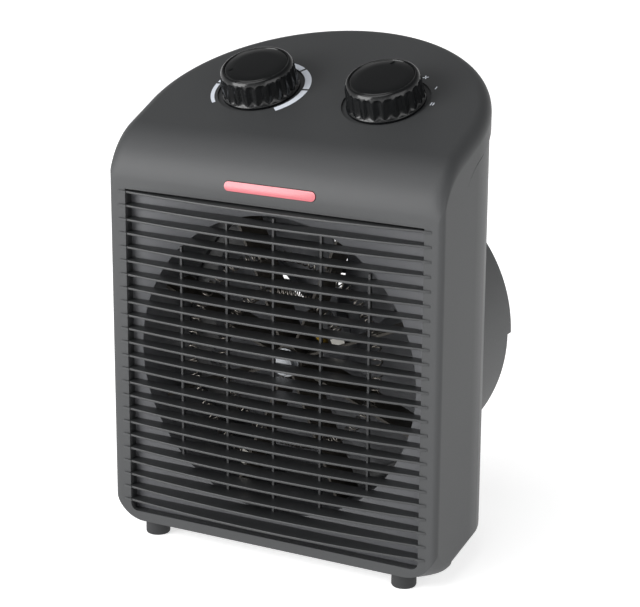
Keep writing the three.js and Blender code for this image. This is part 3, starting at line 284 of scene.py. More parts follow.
def combine(obj: bpy.types.Object, how: Combine, *tools: bpy.types.Object) -> bpy.types.Object:
    """Cut, keep or join a mesh with other meshes, which are used up.

    Args:
        obj: The mesh to change.
        how: What the tools do to it.
        tools: The meshes that do it.

    Returns:
        The changed mesh.
    """
    for tool in tools:
        apply_modifier(obj, "BOOLEAN", operation=how.value, object=tool, solver="EXACT")
        bpy.data.objects.remove(tool)
    return obj


def merge(name: str, pieces: Iterable[bpy.types.Object]) -> bpy.types.Object:
    """Make several meshes one object, without cutting them.

    Args:
        name: Name of the merged object.
        pieces: The meshes.

    Returns:
        The merged object.
    """
    parts = list(pieces)
    only(parts[0])
    for part in parts[1:]:
        part.select_set(True)
    bpy.ops.object.join()
    parts[0].name = name
    return parts[0]


def copy_of(obj: bpy.types.Object, move: Matrix) -> bpy.types.Object:
    """Copy a piece with its own mesh, moved or turned.

    Args:
        obj: The piece to copy.
        move: Where the copy goes.

    Returns:
        The copy.
    """
    twin = link(obj.name, obj.data.copy())
    twin.data.transform(move)
    return twin


def bevel_where(obj: bpy.types.Object, test: Callable[[bmesh.types.BMEdge], bool], width: float,
                segments: int = 3) -> bpy.types.Object:
    """Bevel the edges that pass a test.

    Args:
        obj: The mesh to change.
        test: Says for each edge whether it is bevelled.
        width: Width of the bevel.
        segments: Number of its steps.

    Returns:
        The same object.
    """
    only(obj)
    bpy.ops.object.mode_set(mode="EDIT")
    bpy.ops.mesh.select_mode(type="EDGE")
    bpy.ops.mesh.select_all(action="DESELECT")
    mesh = bmesh.from_edit_mesh(obj.data)
    for edge in mesh.edges:
        edge.select_set(test(edge))
    bmesh.update_edit_mesh(obj.data)
    bpy.ops.mesh.bevel(offset=width, segments=segments, affect="EDGES", clamp_overlap=True)
    bpy.ops.object.mode_set(mode="OBJECT")
    return obj


def soften(obj: bpy.types.Object, width: float, segments: int = 2, angle: float = 40.0) -> bpy.types.Object:
    """Round every edge that is sharper than an angle in degrees."""
    return apply_modifier(
        obj, "BEVEL", width=width, segments=segments, limit_method="ANGLE",
        angle_limit=math.radians(angle), use_clamp_overlap=True, miter_outer="MITER_ARC")


# ------------------------------------------------------------------ finishes
def linear(colour: str) -> tuple[float, float, float, float]:
    """Turn an sRGB hex colour into linear values.

    Args:
        colour: Six hex digits.

    Returns:
        Linear red, green, blue and an alpha of 1.
    """
    values = [int(colour[i:i + 2], 16) / 255 for i in (0, 2, 4)]
    turned = [v / 12.92 if v <= 0.04045 else ((v + 0.055) / 1.055) ** 2.4 for v in values]
    return (*turned, 1.0)


def node(tree: bpy.types.NodeTree, kind: str, inputs: dict[str | int, object] | None = None,
         **settings: object) -> bpy.types.Node:
    """Add a node with its settings and its links.

    Args:
        tree: The material's tree.
        kind: Blender's name for the node's type.
        inputs: For each socket's name or place, its value or the output that feeds it.
        settings: The node's own properties.

    Returns:
        The new node.
    """
    made = tree.nodes.new(kind)
    for key, value in settings.items():
        setattr(made, key, value)
    for key, value in (inputs or {}).items():
        if isinstance(value, bpy.types.NodeSocket):
            tree.links.new(value, made.inputs[key])
        else:
            made.inputs[key].default_value = value
    return made


@dataclass(frozen=True)
class Grain:
    """A mottled finish: colour, roughness and relief follow noise of a real size in millimetres."""

    name: str
    colour: str
    shade: str
    roughness: tuple[float, float]
    cloud: float
    grain: float
    relief: float
    metallic: float = 0.0
    ior: float = 1.5
    specular: float = 0.5
    transmission: float = 0.0
    glow: float = 0.0
    stretch: Point = (1.0, 1.0, 1.0)

    def material(self) -> bpy.types.Material:
        """Build the material.

        Returns:
            A material whose pattern lies in the piece's own coordinates.
        """
        material = bpy.data.materials.new(self.name)
        material.use_nodes = True
        tree = material.node_tree
        tree.nodes.clear()
        place = node(tree, "ShaderNodeTexCoord").outputs["Object"]
        stretched = node(tree, "ShaderNodeMapping", {"Vector": place, "Scale": self.stretch}).outputs["Vector"]
        cloud = node(tree, "ShaderNodeTexNoise", {
            "Vector": stretched, "Scale": 1 / (self.cloud * MM), "Detail": 4.0, "Roughness": 0.6})
        grain = node(tree, "ShaderNodeTexNoise", {
            "Vector": stretched, "Scale": 1 / (self.grain * MM), "Detail": 2.0, "Roughness": 0.7})
        tint = node(tree, "ShaderNodeMix", {
            0: cloud.outputs["Fac"], 6: linear(self.shade), 7: linear(self.colour)}, data_type="RGBA")
        rough = node(tree, "ShaderNodeMapRange", {
            "Value": grain.outputs["Fac"], "To Min": self.roughness[0], "To Max": self.roughness[1]})
        bump = node(tree, "ShaderNodeBump", {
            "Height": grain.outputs["Fac"], "Strength": 1.0, "Distance": self.relief * MM})
        shader = node(tree, "ShaderNodeBsdfPrincipled", {
            "Base Color": tint.outputs[2], "Roughness": rough.outputs["Result"],
            "Normal": bump.outputs["Normal"], "Metallic": self.metallic, "IOR": self.ior,
            "Specular IOR Level": self.specular,
            "Transmission Weight": self.transmission,
            "Emission Color": linear("ffffff"), "Emission Strength": self.glow})
        node(tree, "ShaderNodeOutputMaterial", {"Surface": shader.outputs["BSDF"]})
        return material


# Polypropylene moulded against a spark-eroded steel mould: dark grey with a satin, faintly grained skin.
CASING_PLASTIC = Grain(
    "moulded_polypropylene", "3a3b3c", "353637", (0.42, 0.56), 60.0, 0.7, 0.02, ior=1.49, specular=0.36)
# The same plastic in the louvres, in a darker grey that is painted shade between the louvres, and smoother from the
# mould, so that their edges catch a line of light.
LOUVRE_PLASTIC_SHADED = Grain(
    "moulded_louvre_plastic", "2d2e2f", "28292a", (0.3, 0.42), 40.0, 0.8, 0.01, ior=1.49)
# The same plastic in the duct, in a paler grey that is painted light on the duct's surround, which lies in shade
# behind the louvres.
DUCT_PLASTIC_LIT = Grain(
    "moulded_duct_plastic", "5a5b5e", "515255", (0.45, 0.6), 30.0, 0.9, 0.01, ior=1.49)
# Glass-filled polypropylene of the fan: matt, in a mid grey lighter than its own tone, painted light so that the
# blades show in the shade behind the louvres.
FAN_PLASTIC_LIT = Grain(
    "moulded_fan_plastic", "68696c", "5a5b5e", (0.5, 0.65), 25.0, 0.9, 0.01, ior=1.49)
# Polished ABS of the knobs: nearly black, with sharp reflections.
KNOB_PLASTIC = Grain(
    "polished_abs", "0f1011", "0b0c0d", (0.13, 0.2), 20.0, 1.6, 0.001, ior=1.54, specular=0.36)
# Tinted polycarbonate of the light window: milky red, with a smooth skin.
LENS_PLASTIC = Grain(
    "tinted_polycarbonate", "b85c64", "ae545c", (0.2, 0.3), 9.0, 1.0, 0.004, ior=1.58)
# The window's side walls in a deep red: painted shade that draws a dark red line round the window.
LENS_EDGE_SHADE = Grain(
    "tinted_polycarbonate_painted_edge_shade", "6a1d24", "5c171e", (0.2, 0.3), 9.0, 1.0, 0.002, ior=1.58)
# Pad-printed ink: matt, very slightly uneven.
SCALE_INK = Grain("pad_printed_ink", "d3d8e0", "c5cad3", (0.5, 0.65), 3.0, 0.5, 0.002)
# Zinc-plated steel sheet of the motor can and its bracket.
STEEL = Grain("zinc_plated_steel", "a6a8ab", "8e9194", (0.28, 0.42), 12.0, 0.8, 0.004, metallic=1.0)
# Turned brass of nuts, terminals and bearings.
BRASS = Grain("turned_brass", "b8963e", "a5842f", (0.25, 0.4), 5.0, 0.4, 0.004, metallic=1.0)
# Nickel-plated steel of the coil's terminals: grey with a faint warm tint.
NICKEL = Grain("nickel_plated_steel", "9c9a95", "86847f", (0.3, 0.45), 5.0, 0.4, 0.004, metallic=1.0)
# Drawn nickel-chromium wire, dulled by a thin oxide skin.
HEATING_WIRE = Grain("nickel_chromium_wire", "a7a29b", "837d76", (0.3, 0.45), 4.0, 0.4, 0.002, metallic=1.0)
# Pressed mica board: dark grey-brown, darker than its own tone as painted shade for the dark inside of the duct,
# with a silky sheen.
MICA_SHADED = Grain("pressed_mica_board_painted_shade", "443f37", "332f29", (0.45, 0.7), 4.0, 0.8, 0.02, stretch=(1.0, 0.4, 1.0))
# Moulded rubber of the feet and the cord's gland.
RUBBER = Grain("moulded_rubber", "222325", "1a1b1c", (0.7, 0.85), 8.0, 0.7, 0.02, ior=1.52)
# Phenolic resin of switch, thermostat and lamp holder: dark brown-black, a little speckled.
PHENOLIC = Grain("phenolic_resin", "2b2421", "201a18", (0.4, 0.55), 3.0, 0.5, 0.004, ior=1.6)
# Silicone sleeve of the lead inside the casing.
SILICONE = Grain("silicone_sleeve", "6b2a22", "5a211b", (0.5, 0.65), 10.0, 1.0, 0.004)
# Neon lamp: clear glass with a warm tint.
LAMP_GLASS = Grain("lamp_glass", "f0c8b0", "e6b79c", (0.03, 0.08), 6.0, 2.0, 0.001, transmission=0.6)
# Studio paper under the heater, with a faint glow so that it stays white.
STUDIO_PAPER = Grain("studio_paper", "f4f4f4", "f0f0f0", (0.85, 0.95), 400.0, 3.0, 0.01, glow=0.62)


@cache
def made(finish: Grain) -> bpy.types.Material:
    """Return a finish's material, which is built once."""
    return finish.material()


def painted(obj: bpy.types.Object, finish: Grain) -> bpy.types.Object:
    """Give an object one finish."""
    obj.data.materials.clear()
    obj.data.materials.append(made(finish))
    return obj


def dress_node(name: str, finish: Grain) -> None:
    """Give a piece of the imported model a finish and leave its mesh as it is."""
    painted(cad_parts[name], finish)
    log.info("%s: packed piece, %s", name, finish.name)


def finish_piece(obj: bpy.types.Object, body: Body, slot: str, finish: Grain, *stands_for: str,
                 smooth: float = 32.0, level: bool = False) -> bpy.types.Object:
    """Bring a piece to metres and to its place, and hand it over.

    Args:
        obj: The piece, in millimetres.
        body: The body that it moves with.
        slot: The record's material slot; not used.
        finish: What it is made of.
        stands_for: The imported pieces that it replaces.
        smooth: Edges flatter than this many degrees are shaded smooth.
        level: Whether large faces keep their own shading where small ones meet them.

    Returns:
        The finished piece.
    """
    only(obj)
    bpy.ops.object.shade_smooth_by_angle(angle=math.radians(smooth))
    if level:
        apply_modifier(obj, "WEIGHTED_NORMAL", keep_sharp=True)
    obj.data.transform(Matrix.Scale(MM, 4) @ Matrix.Translation((0, -MIDDLE_Y, 0)))
    painted(obj, finish)
    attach(obj, body.value)
    if stands_for:
        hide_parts(*stands_for)
    log.info("%s: %d faces, %s", obj.name, len(obj.data.polygons), finish.name)
    return obj


# ------------------------------------------------------------------ casing
@dataclass
class Casing:
    """The two covers: an envelope of plan outlines, split along the seam."""

    half_width: float = 100.0
    depth: float = 127.0
    side_straight: float = 42.0
    clearance: float = 8.5
    deck_rise: float = 226.5
    deck_slope: float = math.radians(22.15)
    bend: float = 32.0
    deck_edge: float = 8.0
    corner: float = 3.0
    foot_corner: float = 19.0
    foot_corner_rear: float = 6.0
    foot_fade: float = 18.0
    tail_rise: float = math.radians(11.5)
    wall: float = 2.5
    rear_wall: float = 3.0
    seam_y: float = 20.5
    seam_bend: float = 40.0
    skirt: float = 16.0
    seam_gap: float = 1.1
    side_tuck: float = 0.5
    rear_tuck: float = 2.4
    opening: tuple[float, float, float] = (89.5, 14.0, 200.1)
    opening_corner: float = 4.0
    lens: tuple[float, float, float] = (54.4, 5.2, 209.0)
    recess: tuple[float, float] = (24.3, 1.2)
    knob_x: float = 38.1
    knob_y: float = 58.9
    axis_z: float = 110.3
    housing: float = 85.0
    housing_wall: float = 2.5
    housing_front: float = 56.5
    housing_rear: float = 124.8
    intake: float = 76.0
    visor: tuple[float, float] = (4.7, 4.0)
    top_screw: tuple[float, float] = (80.0, 212.0)
    gland: tuple[float, float, float] = (-62.0, 36.0, 112.0)

    def top(self, y: float, inset: float) -> float:
        """Return the height of the casing's top at y, for a skin that lies inset inside the outer one."""
        radius = self.bend - inset
        start = self.deck_rise - self.bend * math.tan((math.pi / 2 - self.deck_slope) / 2)
        if y < self.bend - radius * math.sin(self.deck_slope):
            return start + math.sqrt(max(radius ** 2 - (self.bend - y) ** 2, 0))
        return self.deck_rise + y * math.tan(self.deck_slope) - inset / math.cos(self.deck_slope)

    def outline(self, half: float, front: float, rear: float, corner: float) -> list[tuple[float, float]]:
        """Draw the casing's plan.

        Args:
            half: Half its width.
            front: Where its front line lies.
            rear: Where its rear lies.
            corner: Radius of its front corners.

        Returns:
            Its points, counter-clockwise from the right end of the front line.
        """
        side = []
        for i in range(6):
            angle = math.pi / 2 * (i / 5 - 1)
            side.append((half - corner + corner * math.cos(angle), front + corner + corner * math.sin(angle)))
        steps = 32
        for i in range(steps + 1):
            bend = self.bend * (1 - math.cos((math.pi / 2 - self.deck_slope) * i / steps))
            share = (bend - self.corner) / (self.side_straight - self.corner)
            if share > 0.01:
                side.append((half, front + corner + share * (self.side_straight - front - corner)))
        side += [(half, side[-1][1] + (self.side_straight - side[-1][1]) * share) for share in (0.35, 0.7)]
        curve = []
        for i in range(121):
            angle = math.pi * i / 120
            curve.append((half * math.cos(angle),
                          self.side_straight + (rear - self.side_straight) * math.sin(angle)))
        ends = [(half - corner - share * self.deck_edge, front) for share in (0.15, 0.3, 0.5, 0.7, 1.0)]
        left = [(-x, y) for x, y in side][::-1]
        return side + curve + left + [(-x, y) for x, y in ends] + ends[::-1]

    def envelope(self, name: str, inset: float, tuck: float = 0.0) -> bpy.types.Object:
        """Skin the filled casing down to the floor.

        Args:
            name: Name of the new object.
            inset: How far it lies inside the outer skin.
            tuck: How much further in its curved rear lies.

        Returns:
            The closed skin.
        """
        half = self.half_width - inset
        edge = max(self.deck_edge - inset, 1.0)
        flat = self.bend * (1 - math.sin(self.deck_slope)) + self.deck_edge / 8
        insets = [edge * (1 - math.cos(math.pi / 2 * i / 20)) for i in range(21)]
        insets += [edge + (flat - edge) * i / 14 for i in range(1, 15)]

        def plan(step: float) -> list[tuple[float, float]]:
            """Return the plan outline that lies a step further in."""
            return self.outline(half - step, inset + step, self.depth - inset - tuck - step,
                                max(self.corner - inset - step, 0.2))

        rings = [[(x, y, 0.0) for x, y in plan(0)]]
        for step in insets:
            ring = []
            for x, y in plan(step):
                aside = half - abs(x) if y <= self.side_straight else step
                drop = edge - math.sqrt(edge ** 2 - (edge - min(aside, edge)) ** 2)
                ring.append((x, y, self.top(y, inset) - drop))
            rings.append(ring)
        return loft(name, rings)

    def foot_radius(self, y: float) -> float:
        """Return the radius of the long bottom corners at y: wide at the front frame and narrow behind it."""
        share = min(max(y / self.foot_fade, 0.0), 1.0)
        return self.foot_corner + (self.foot_corner_rear - self.foot_corner) * math.sin(share * math.pi / 2)

    def floor_tools(self, inset: float, tilt: float) -> list[bpy.types.Object]:
        """Make the tools that cut the underside flat and round its long corners.

        Args:
            inset: How far inside the outer skin they cut.
            tilt: How steeply they climb behind the seam.

        Returns:
            A block under the casing and one tool for each corner.
        """
        low = self.clearance + inset
        half = self.half_width - inset
        tools = [add_box("under", (-200, -60, low - 80), (200, 260, low))]
        for hand in (-1, 1):
            rings = []
            for y in (-60.0, *(self.foot_fade * i / 12 for i in range(13)), 270.0):
                radius = max(self.foot_radius(y) - inset, 2.0)
                arc = [math.radians(7.5 * i - 90) for i in range(13)]
                ring = [(half - radius + radius * math.cos(a), low + radius + radius * math.sin(a)) for a in arc]
                ring += [(150.0, low + radius), (150.0, low - 40.0), (half - radius, low - 40.0)]
                rings.append([(hand * x, y, z) for x, z in ring])
            tools.append(loft("corner", rings))
        if tilt:
            pivot = Vector((0, self.seam_y, self.clearance))
            turn = Matrix.Translation(pivot) @ Matrix.Rotation(tilt, 4, "X") @ Matrix.Translation(-pivot)
            for tool in tools:
                tool.data.transform(turn)
        return tools

    def seam_tool(self, offset: float) -> bpy.types.Object:
        """Make the region in front of the seam and above it; offset moves the seam back and down."""
        slope = math.tan(self.deck_slope)
        middle_y = self.seam_y + self.seam_bend
        middle_z = (self.deck_rise - self.skirt + self.seam_y * slope
                    - self.seam_bend * math.tan((math.pi / 2 - self.deck_slope) / 2))
        radius = self.seam_bend - offset
        outline = [(-60.0, -60.0), (self.seam_y + offset, -60.0)]
        steps = 28
        for i in range(steps + 1):
            angle = math.pi - (math.pi / 2 - self.deck_slope) * i / steps
            outline.append((middle_y + radius * math.cos(angle), middle_z + radius * math.sin(angle)))
        end = 260.0
        outline.append((end, self.deck_rise - self.skirt + end * slope - offset / math.cos(self.deck_slope)))
        outline += [(end, 500.0), (-60.0, 500.0)]
        return add_profile("seam", outline, -150, 150, Axis.X)

    def on_deck(self, obj: bpy.types.Object, side: int) -> bpy.types.Object:
        """Stand a piece that is drawn about z on the deck, at one of the knobs."""
        rise = self.deck_rise + self.knob_y * math.tan(self.deck_slope)
        place = Matrix.Translation((side * self.knob_x, self.knob_y, rise))
        obj.data.transform(place @ Matrix.Rotation(self.deck_slope, 4, "X"))
        return obj

    def lens_window(self, name: str, grow: float, front: float, back: float) -> bpy.types.Object:
        """Draw the light window's long round-ended outline by pulling the halves of a disc apart.

        Args:
            name: Name of the new object.
            grow: How much larger than the window it is on every side.
            front: Where it starts on y.
            back: Where it ends.

        Returns:
            A bar with round ends.
        """
        length, height, z = self.lens
        bar = add_rod(name, height / 2 + grow, front, back, Axis.Y, (0, z), 64)
        for vertex in bar.data.vertices:
            vertex.co.x += math.copysign(length / 2 - height / 2, vertex.co.x)
        return bar

    def front_cover(self) -> bpy.types.Object:
        """Make the front cover: deck, front frame and the front of the sides.

        Returns:
            The finished piece.
        """
        cover = combine(self.envelope("front_cover_skin", 0), Combine.KEEP, self.seam_tool(0))
        combine(cover, Combine.CUT, *self.floor_tools(0, 0))
        hollow = combine(self.envelope("hollow", self.wall), Combine.CUT, *self.floor_tools(self.wall, 0))
        combine(cover, Combine.CUT, hollow)
        half, low, high = self.opening
        opening = add_box("opening", (-half, -20, low), (half, self.wall + 6, high))
        bevel_where(opening, lambda e: abs(e.verts[0].co.x - e.verts[1].co.x) < 0.01 and e.verts[0].co.z < 20
                    and e.verts[1].co.z < 20, self.opening_corner, 8)
        combine(cover, Combine.CUT, opening, self.lens_window("slot", 0.25, -20, 30))
        radius, depth = self.recess
        for side in (-1, 1):
            recess = add_rod("recess", radius, -depth, 10, Axis.Z, sides=128)
            combine(cover, Combine.CUT, self.on_deck(recess, side))
        soften(cover, 0.45)
        return finish_piece(cover, Body.CASING, "casing_plastic", CASING_PLASTIC, "front_cover", level=True)

    def rear_cover(self) -> bpy.types.Object:
        """Make the rear cover with its round fan housing and the visor over the intake.

        Returns:
            The finished piece.
        """
        tuck, back, z = self.side_tuck, self.rear_tuck, self.axis_z
        cover = self.envelope("rear_cover_skin", tuck, back)
        combine(cover, Combine.CUT, *self.floor_tools(tuck, self.tail_rise))
        inner = tuck + self.rear_wall
        hollow = combine(self.envelope("hollow", inner, back), Combine.CUT,
                         *self.floor_tools(inner, self.tail_rise))
        combine(cover, Combine.CUT, hollow, self.seam_tool(self.seam_gap))

        def about_fan(name: str, radius: float, start: float, end: float) -> bpy.types.Object:
            """Add a cylinder about the fan's axis."""
            return add_rod(name, radius, start, end, Axis.Y, (0, z), 160)

        housing = about_fan("housing", self.housing, self.housing_front, self.housing_rear)
        bevel_where(housing, lambda e: e.verts[0].co.y > 120 and e.verts[1].co.y > 120, 1.2)
        visor_depth, visor_wall = self.visor
        visor = about_fan("visor", self.housing, self.housing_rear - 3, self.housing_rear + visor_depth)
        bevel_where(visor, lambda e: e.verts[0].co.y > 127 and e.verts[1].co.y > 127, 1.2)
        combine(visor, Combine.CUT, about_fan("throat", self.housing - visor_wall, 100, 140),
                add_box("below", (-100, 100, z - 100), (100, 140, z)))
        combine(cover, Combine.JOIN, housing, visor)
        x, screw_z = self.top_screw
        for side in (-1, 1):
            tube = add_rod("tube", 5.8, 26, 120, Axis.Y, (side * x, screw_z), 32)
            keep = self.envelope("keep", tuck + self.rear_wall / 2, back)
            combine(cover, Combine.JOIN, combine(tube, Combine.KEEP, keep))
        gland_x, gland_z, gland_y = self.gland
        combine(cover, Combine.JOIN, add_rod("gland_boss", 9.5, gland_y - 20, gland_y, Axis.Y, (gland_x, gland_z)))
        inner_radius = self.housing - self.housing_wall
        combine(cover, Combine.CUT,
                about_fan("bore", inner_radius, 40, self.housing_rear - self.rear_wall),
                about_fan("intake", self.intake, 100, 124.9),
                add_rod("gland_bore", 5.3, 80, 140, Axis.Y, (gland_x, gland_z)))
        for side in (-1, 1):
            combine(cover, Combine.CUT, add_rod("head_bore", 4.1, 28, 140, Axis.Y, (side * x, screw_z)))
        soften(cover, 0.35)
        return finish_piece(cover, Body.CASING, "casing_plastic", CASING_PLASTIC, "rear_cover", level=True)

    def indicator_lens(self) -> bpy.types.Object:
        """Make the light window, which follows the bend of the front and stands a little proud.

        Returns:
            The finished piece.
        """
        window = self.lens_window("indicator_lens_window", 0.0, -20, 14)
        combine(window, Combine.KEEP, self.envelope("skin", -0.4))
        combine(window, Combine.CUT, self.envelope("skin", self.wall + 1.8))
        soften(window, 0.7, 3)
        finish_piece(window, Body.CASING, "lens_plastic", LENS_PLASTIC, "indicator_lens")
        # The window's side walls take the deep red of painted shade.
        window.data.materials.append(made(LENS_EDGE_SHADE))
        for face in window.data.polygons:
            if abs(face.normal.y) < 0.93:
                face.material_index = 1
        return window


# ------------------------------------------------------------------ grille
@dataclass
class Grille:
    """The front grille: bowed louvres on upright ribs, and the louvre lines that run out over the frame."""

    casing: Casing
    count: int = 24
    pitch: float = 7.75
    thickness: float = 1.3
    top: float = 198.5
    bow: float = 6.2
    ridge_run: float = 4.2
    back: float = 5.9
    rib_pitch: float = 28.5
    ribs: int = 5
    rib_width: float = 1.2
    hole: float = 83.5

    def front(self, x: float) -> float:
        """Return the place of a louvre's front edge at x."""
        reach = self.casing.opening[0] + self.ridge_run
        radius = (reach ** 2 + self.bow ** 2) / (2 * self.bow)
        return radius - self.bow - math.sqrt(radius ** 2 - x ** 2)

    def stacked(self, first: bpy.types.Object) -> list[bpy.types.Object]:
        """Return the highest piece and its copies, one for each louvre below it."""
        drops = [Matrix.Translation((0, 0, -i * self.pitch)) for i in range(1, self.count)]
        return [first, *(copy_of(first, drop) for drop in drops)]

    def louvre(self) -> bpy.types.Object:
        """Make the highest louvre: a strip cut into short lengths, whose front edge is pulled out to an arc.

        Returns:
            The louvre.
        """
        end = self.casing.opening[0] - 0.3
        half = self.thickness / 2
        strip = add_box("louvre", (-end, 0, self.top - half), (end, self.back, self.top + half))
        bevel_where(strip, lambda e: abs(e.verts[0].co.x - e.verts[1].co.x) > 1 and e.verts[0].co.y < 1, 0.35, 3)
        only(strip)
        bpy.ops.object.mode_set(mode="EDIT")
        cuts = 44
        for i in range(1, cuts):
            bpy.ops.mesh.select_all(action="SELECT")
            x = -end + 2 * end * i / cuts
            bpy.ops.mesh.bisect(plane_co=(x, 0, 0), plane_no=(1, 0, 0))
        bpy.ops.object.mode_set(mode="OBJECT")
        for vertex in strip.data.vertices:
            if vertex.co.y < 1:
                vertex.co.y += self.front(vertex.co.x)
        return strip

    def build(self) -> bpy.types.Object:
        """Make the grille from one louvre, its copies and the ribs behind them.

        Returns:
            The finished piece.
        """
        parts = self.stacked(self.louvre())
        _, low, high = self.casing.opening
        for i in range(self.ribs):
            x = (i - (self.ribs - 1) / 2) * self.rib_pitch
            half = self.rib_width / 2
            reach = math.sqrt(self.hole ** 2 - x ** 2) - 0.3
            z = self.casing.axis_z
            parts.append(add_box("rib", (x - half, 3.9, z - reach), (x + half, 6, z + reach)))
        outer = add_box("rim", (-93.5, 2.8, low - 2.7), (93.5, 6, high + 4))
        half = self.casing.opening[0]
        combine(outer, Combine.CUT, add_box("hole", (-half, -10, low), (half, 20, high)))
        parts.append(outer)
        # The louvres and ribs take the darker grey of painted shade.
        return finish_piece(merge("grille_louvres", parts), Body.CASING, "casing_plastic", LOUVRE_PLASTIC_SHADED,
                            "front_grille")

    def ridges(self) -> bpy.types.Object:
        """Make the low ridges that carry the louvre lines out over the frame.

        Returns:
            The finished piece.
        """
        start = self.casing.opening[0]
        end = start + self.ridge_run
        half = self.thickness / 2
        outline = [(start - 0.9, 1.5), (start - 0.9, -1.15), (start, -1.1), (end - 0.3, -0.4), (end, -0.2),
                   (end, 0.2), (start, 0.2), (start, 1.5)]
        right = add_profile("ridge", outline, self.top - half, self.top + half, Axis.Z)
        left = copy_of(right, Matrix.Scale(-1, 4, (1, 0, 0)))
        pair = merge("frame_ridges", [right, face_out(left, weld=False)])
        ridges = merge("frame_ridges", self.stacked(pair))
        return finish_piece(ridges, Body.CASING, "casing_plastic", CASING_PLASTIC)


# ------------------------------------------------------------------ controls
@dataclass
class Knob:
    """A fluted knob with a flange, a polished rim and a sunk cap with a pointer."""

    casing: Casing
    name: str
    side: int
    body: Body
    pointer: float
    flutes: int = 22
    flute_depth: float = 0.85
    profile: Profile = field(default_factory=lambda: (
        (21.7, -0.9), (21.7, 0.3), (21.6, 0.6), (21.3, 0.8), (21.2, 1.3), (21.15, 2.2), (20.95, 4.5),
        (20.8, 7.5), (20.65, 10.5), (20.6, 11.8), (20.5, 12.3), (20.3, 12.8), (20.0, 13.5), (19.5, 14.2),
        (19.0, 14.7), (18.5, 14.95), (18.1, 15.0), (17.8, 14.85), (17.7, 14.5), (17.55, 14.35), (17.4, 14.4),
        (17.2, 14.7), (16.8, 14.85), (12.0, 14.98), (6.0, 15.06), (0.0, 15.08)))
    fluted: tuple[float, float] = (1.2, 12.4)
    skirt: float = 19.0

    def build(self) -> bpy.types.Object:
        """Turn the knob, press the flutes into its skirt and sink the pointer into its cap.

        Returns:
            The finished piece.
        """
        knob = add_turned(self.name, self.profile, self.flutes * 10)
        low, high = self.fluted
        for vertex in knob.data.vertices:
            x, y, z = vertex.co
            if low <= z <= high and math.hypot(x, y) > self.skirt:
                wave = 0.5 - 0.5 * math.cos(self.flutes * math.atan2(y, x))
                fade = min(1.0, 0.35 + (z - low) / 1.2, 0.5 + (high - z) / 1.0)
                scale = 1 - self.flute_depth * fade * wave / math.hypot(x, y)
                vertex.co.x *= scale
                vertex.co.y *= scale
        bpy.ops.object.select_all(action="DESELECT")
        bpy.ops.mesh.primitive_cylinder_add(vertices=3, radius=2.3, depth=2, location=(0, 0, 0))
        mark = settle(bpy.context.object)
        mark.data.transform(Matrix.Rotation(-math.pi / 2, 4, "Z"))
        mark.data.transform(Matrix.Diagonal((1.0, 0.7, 1.0, 1.0)))
        mark.data.transform(Matrix.Rotation(self.pointer, 4, "Z") @ Matrix.Translation((14.0, 0, 15.55)))
        combine(knob, Combine.CUT, mark)
        self.casing.on_deck(knob, self.side)
        return finish_piece(knob, self.body, "knob_plastic", KNOB_PLASTIC, self.name.replace("_cap", ""),
                            smooth=38)


@dataclass
class ScaleMarks:
    """The marks printed on the deck: a widening band for heat, and signs for the selector's places."""

    casing: Casing
    lift: float = 0.06
    outer: float = 28.1
    thin: float = 26.2
    thick: float = 24.5
    start: float = 223.0
    end: float = -46.0
    gaps: tuple[float, ...] = (179.0, 54.0, 5.5)
    half_gap: float = 1.8

    def band(self) -> bpy.types.Object:
        """Draw the band's stretches, from the thin end clockwise over the top to the thick end.

        Returns:
            The finished piece.
        """
        edges = [self.start]
        for gap in self.gaps:
            edges += [gap + self.half_gap, gap - self.half_gap]
        edges.append(self.end)
        stretches = []
        for first, last in zip(edges[::2], edges[1::2]):
            steps = max(2, round((first - last) / 3))
            outer, inner = [], []
            for i in range(steps + 1):
                angle = first + (last - first) * i / steps
                share = min(1.0, 2 * (self.start - angle) / (self.start - self.end))
                for line, radius in ((outer, self.outer), (inner, self.thin + (self.thick - self.thin) * share)):
                    line.append((radius * math.cos(math.radians(angle)), radius * math.sin(math.radians(angle))))
            stretches.append(add_profile("stretch", outer + inner[::-1], self.lift - 0.03, self.lift + 0.03, Axis.Z))
        band = merge("heat_scale_band", stretches)
        self.casing.on_deck(band, -1)
        return finish_piece(band, Body.CASING, "casing_plastic", SCALE_INK)

    def sign(self, angle: float, radius: float, strokes: Sequence[bpy.types.Object]) -> list[bpy.types.Object]:
        """Put a sign's strokes, drawn about the origin, into their place round the selector.

        Args:
            angle: The sign's angle in degrees.
            radius: Its distance from the selector's axis.
            strokes: Its strokes.

        Returns:
            The strokes.
        """
        a = math.radians(angle)
        place = Matrix.Translation((radius * math.cos(a), radius * math.sin(a), self.lift))
        for stroke in strokes:
            stroke.data.transform(place)
        return list(strokes)

    def signs(self) -> bpy.types.Object:
        """Draw a fan, one bar and two bars beside the selector.

        Returns:
            The finished piece.
        """
        blades = []
        for i in range(4):
            blade = add_box("blade", (0.2, -0.35, -0.02), (1.7, 0.35, 0.02))
            blade.data.transform(Matrix.Rotation(math.pi / 2 * i + 0.4, 4, "Z"))
            blades.append(blade)
        one = [add_box("bar", (-0.3, -1.3, -0.02), (0.3, 1.3, 0.02))]
        two = [add_box("bar", (x - 0.3, -1.3, -0.02), (x + 0.3, 1.3, 0.02)) for x in (-0.65, 0.65)]
        strokes = self.sign(66, 28.6, blades) + self.sign(38, 27.6, one) + self.sign(3.5, 26.4, two)
        signs = merge("selector_signs", strokes)
        self.casing.on_deck(signs, 1)
        return finish_piece(signs, Body.CASING, "casing_plastic", SCALE_INK)


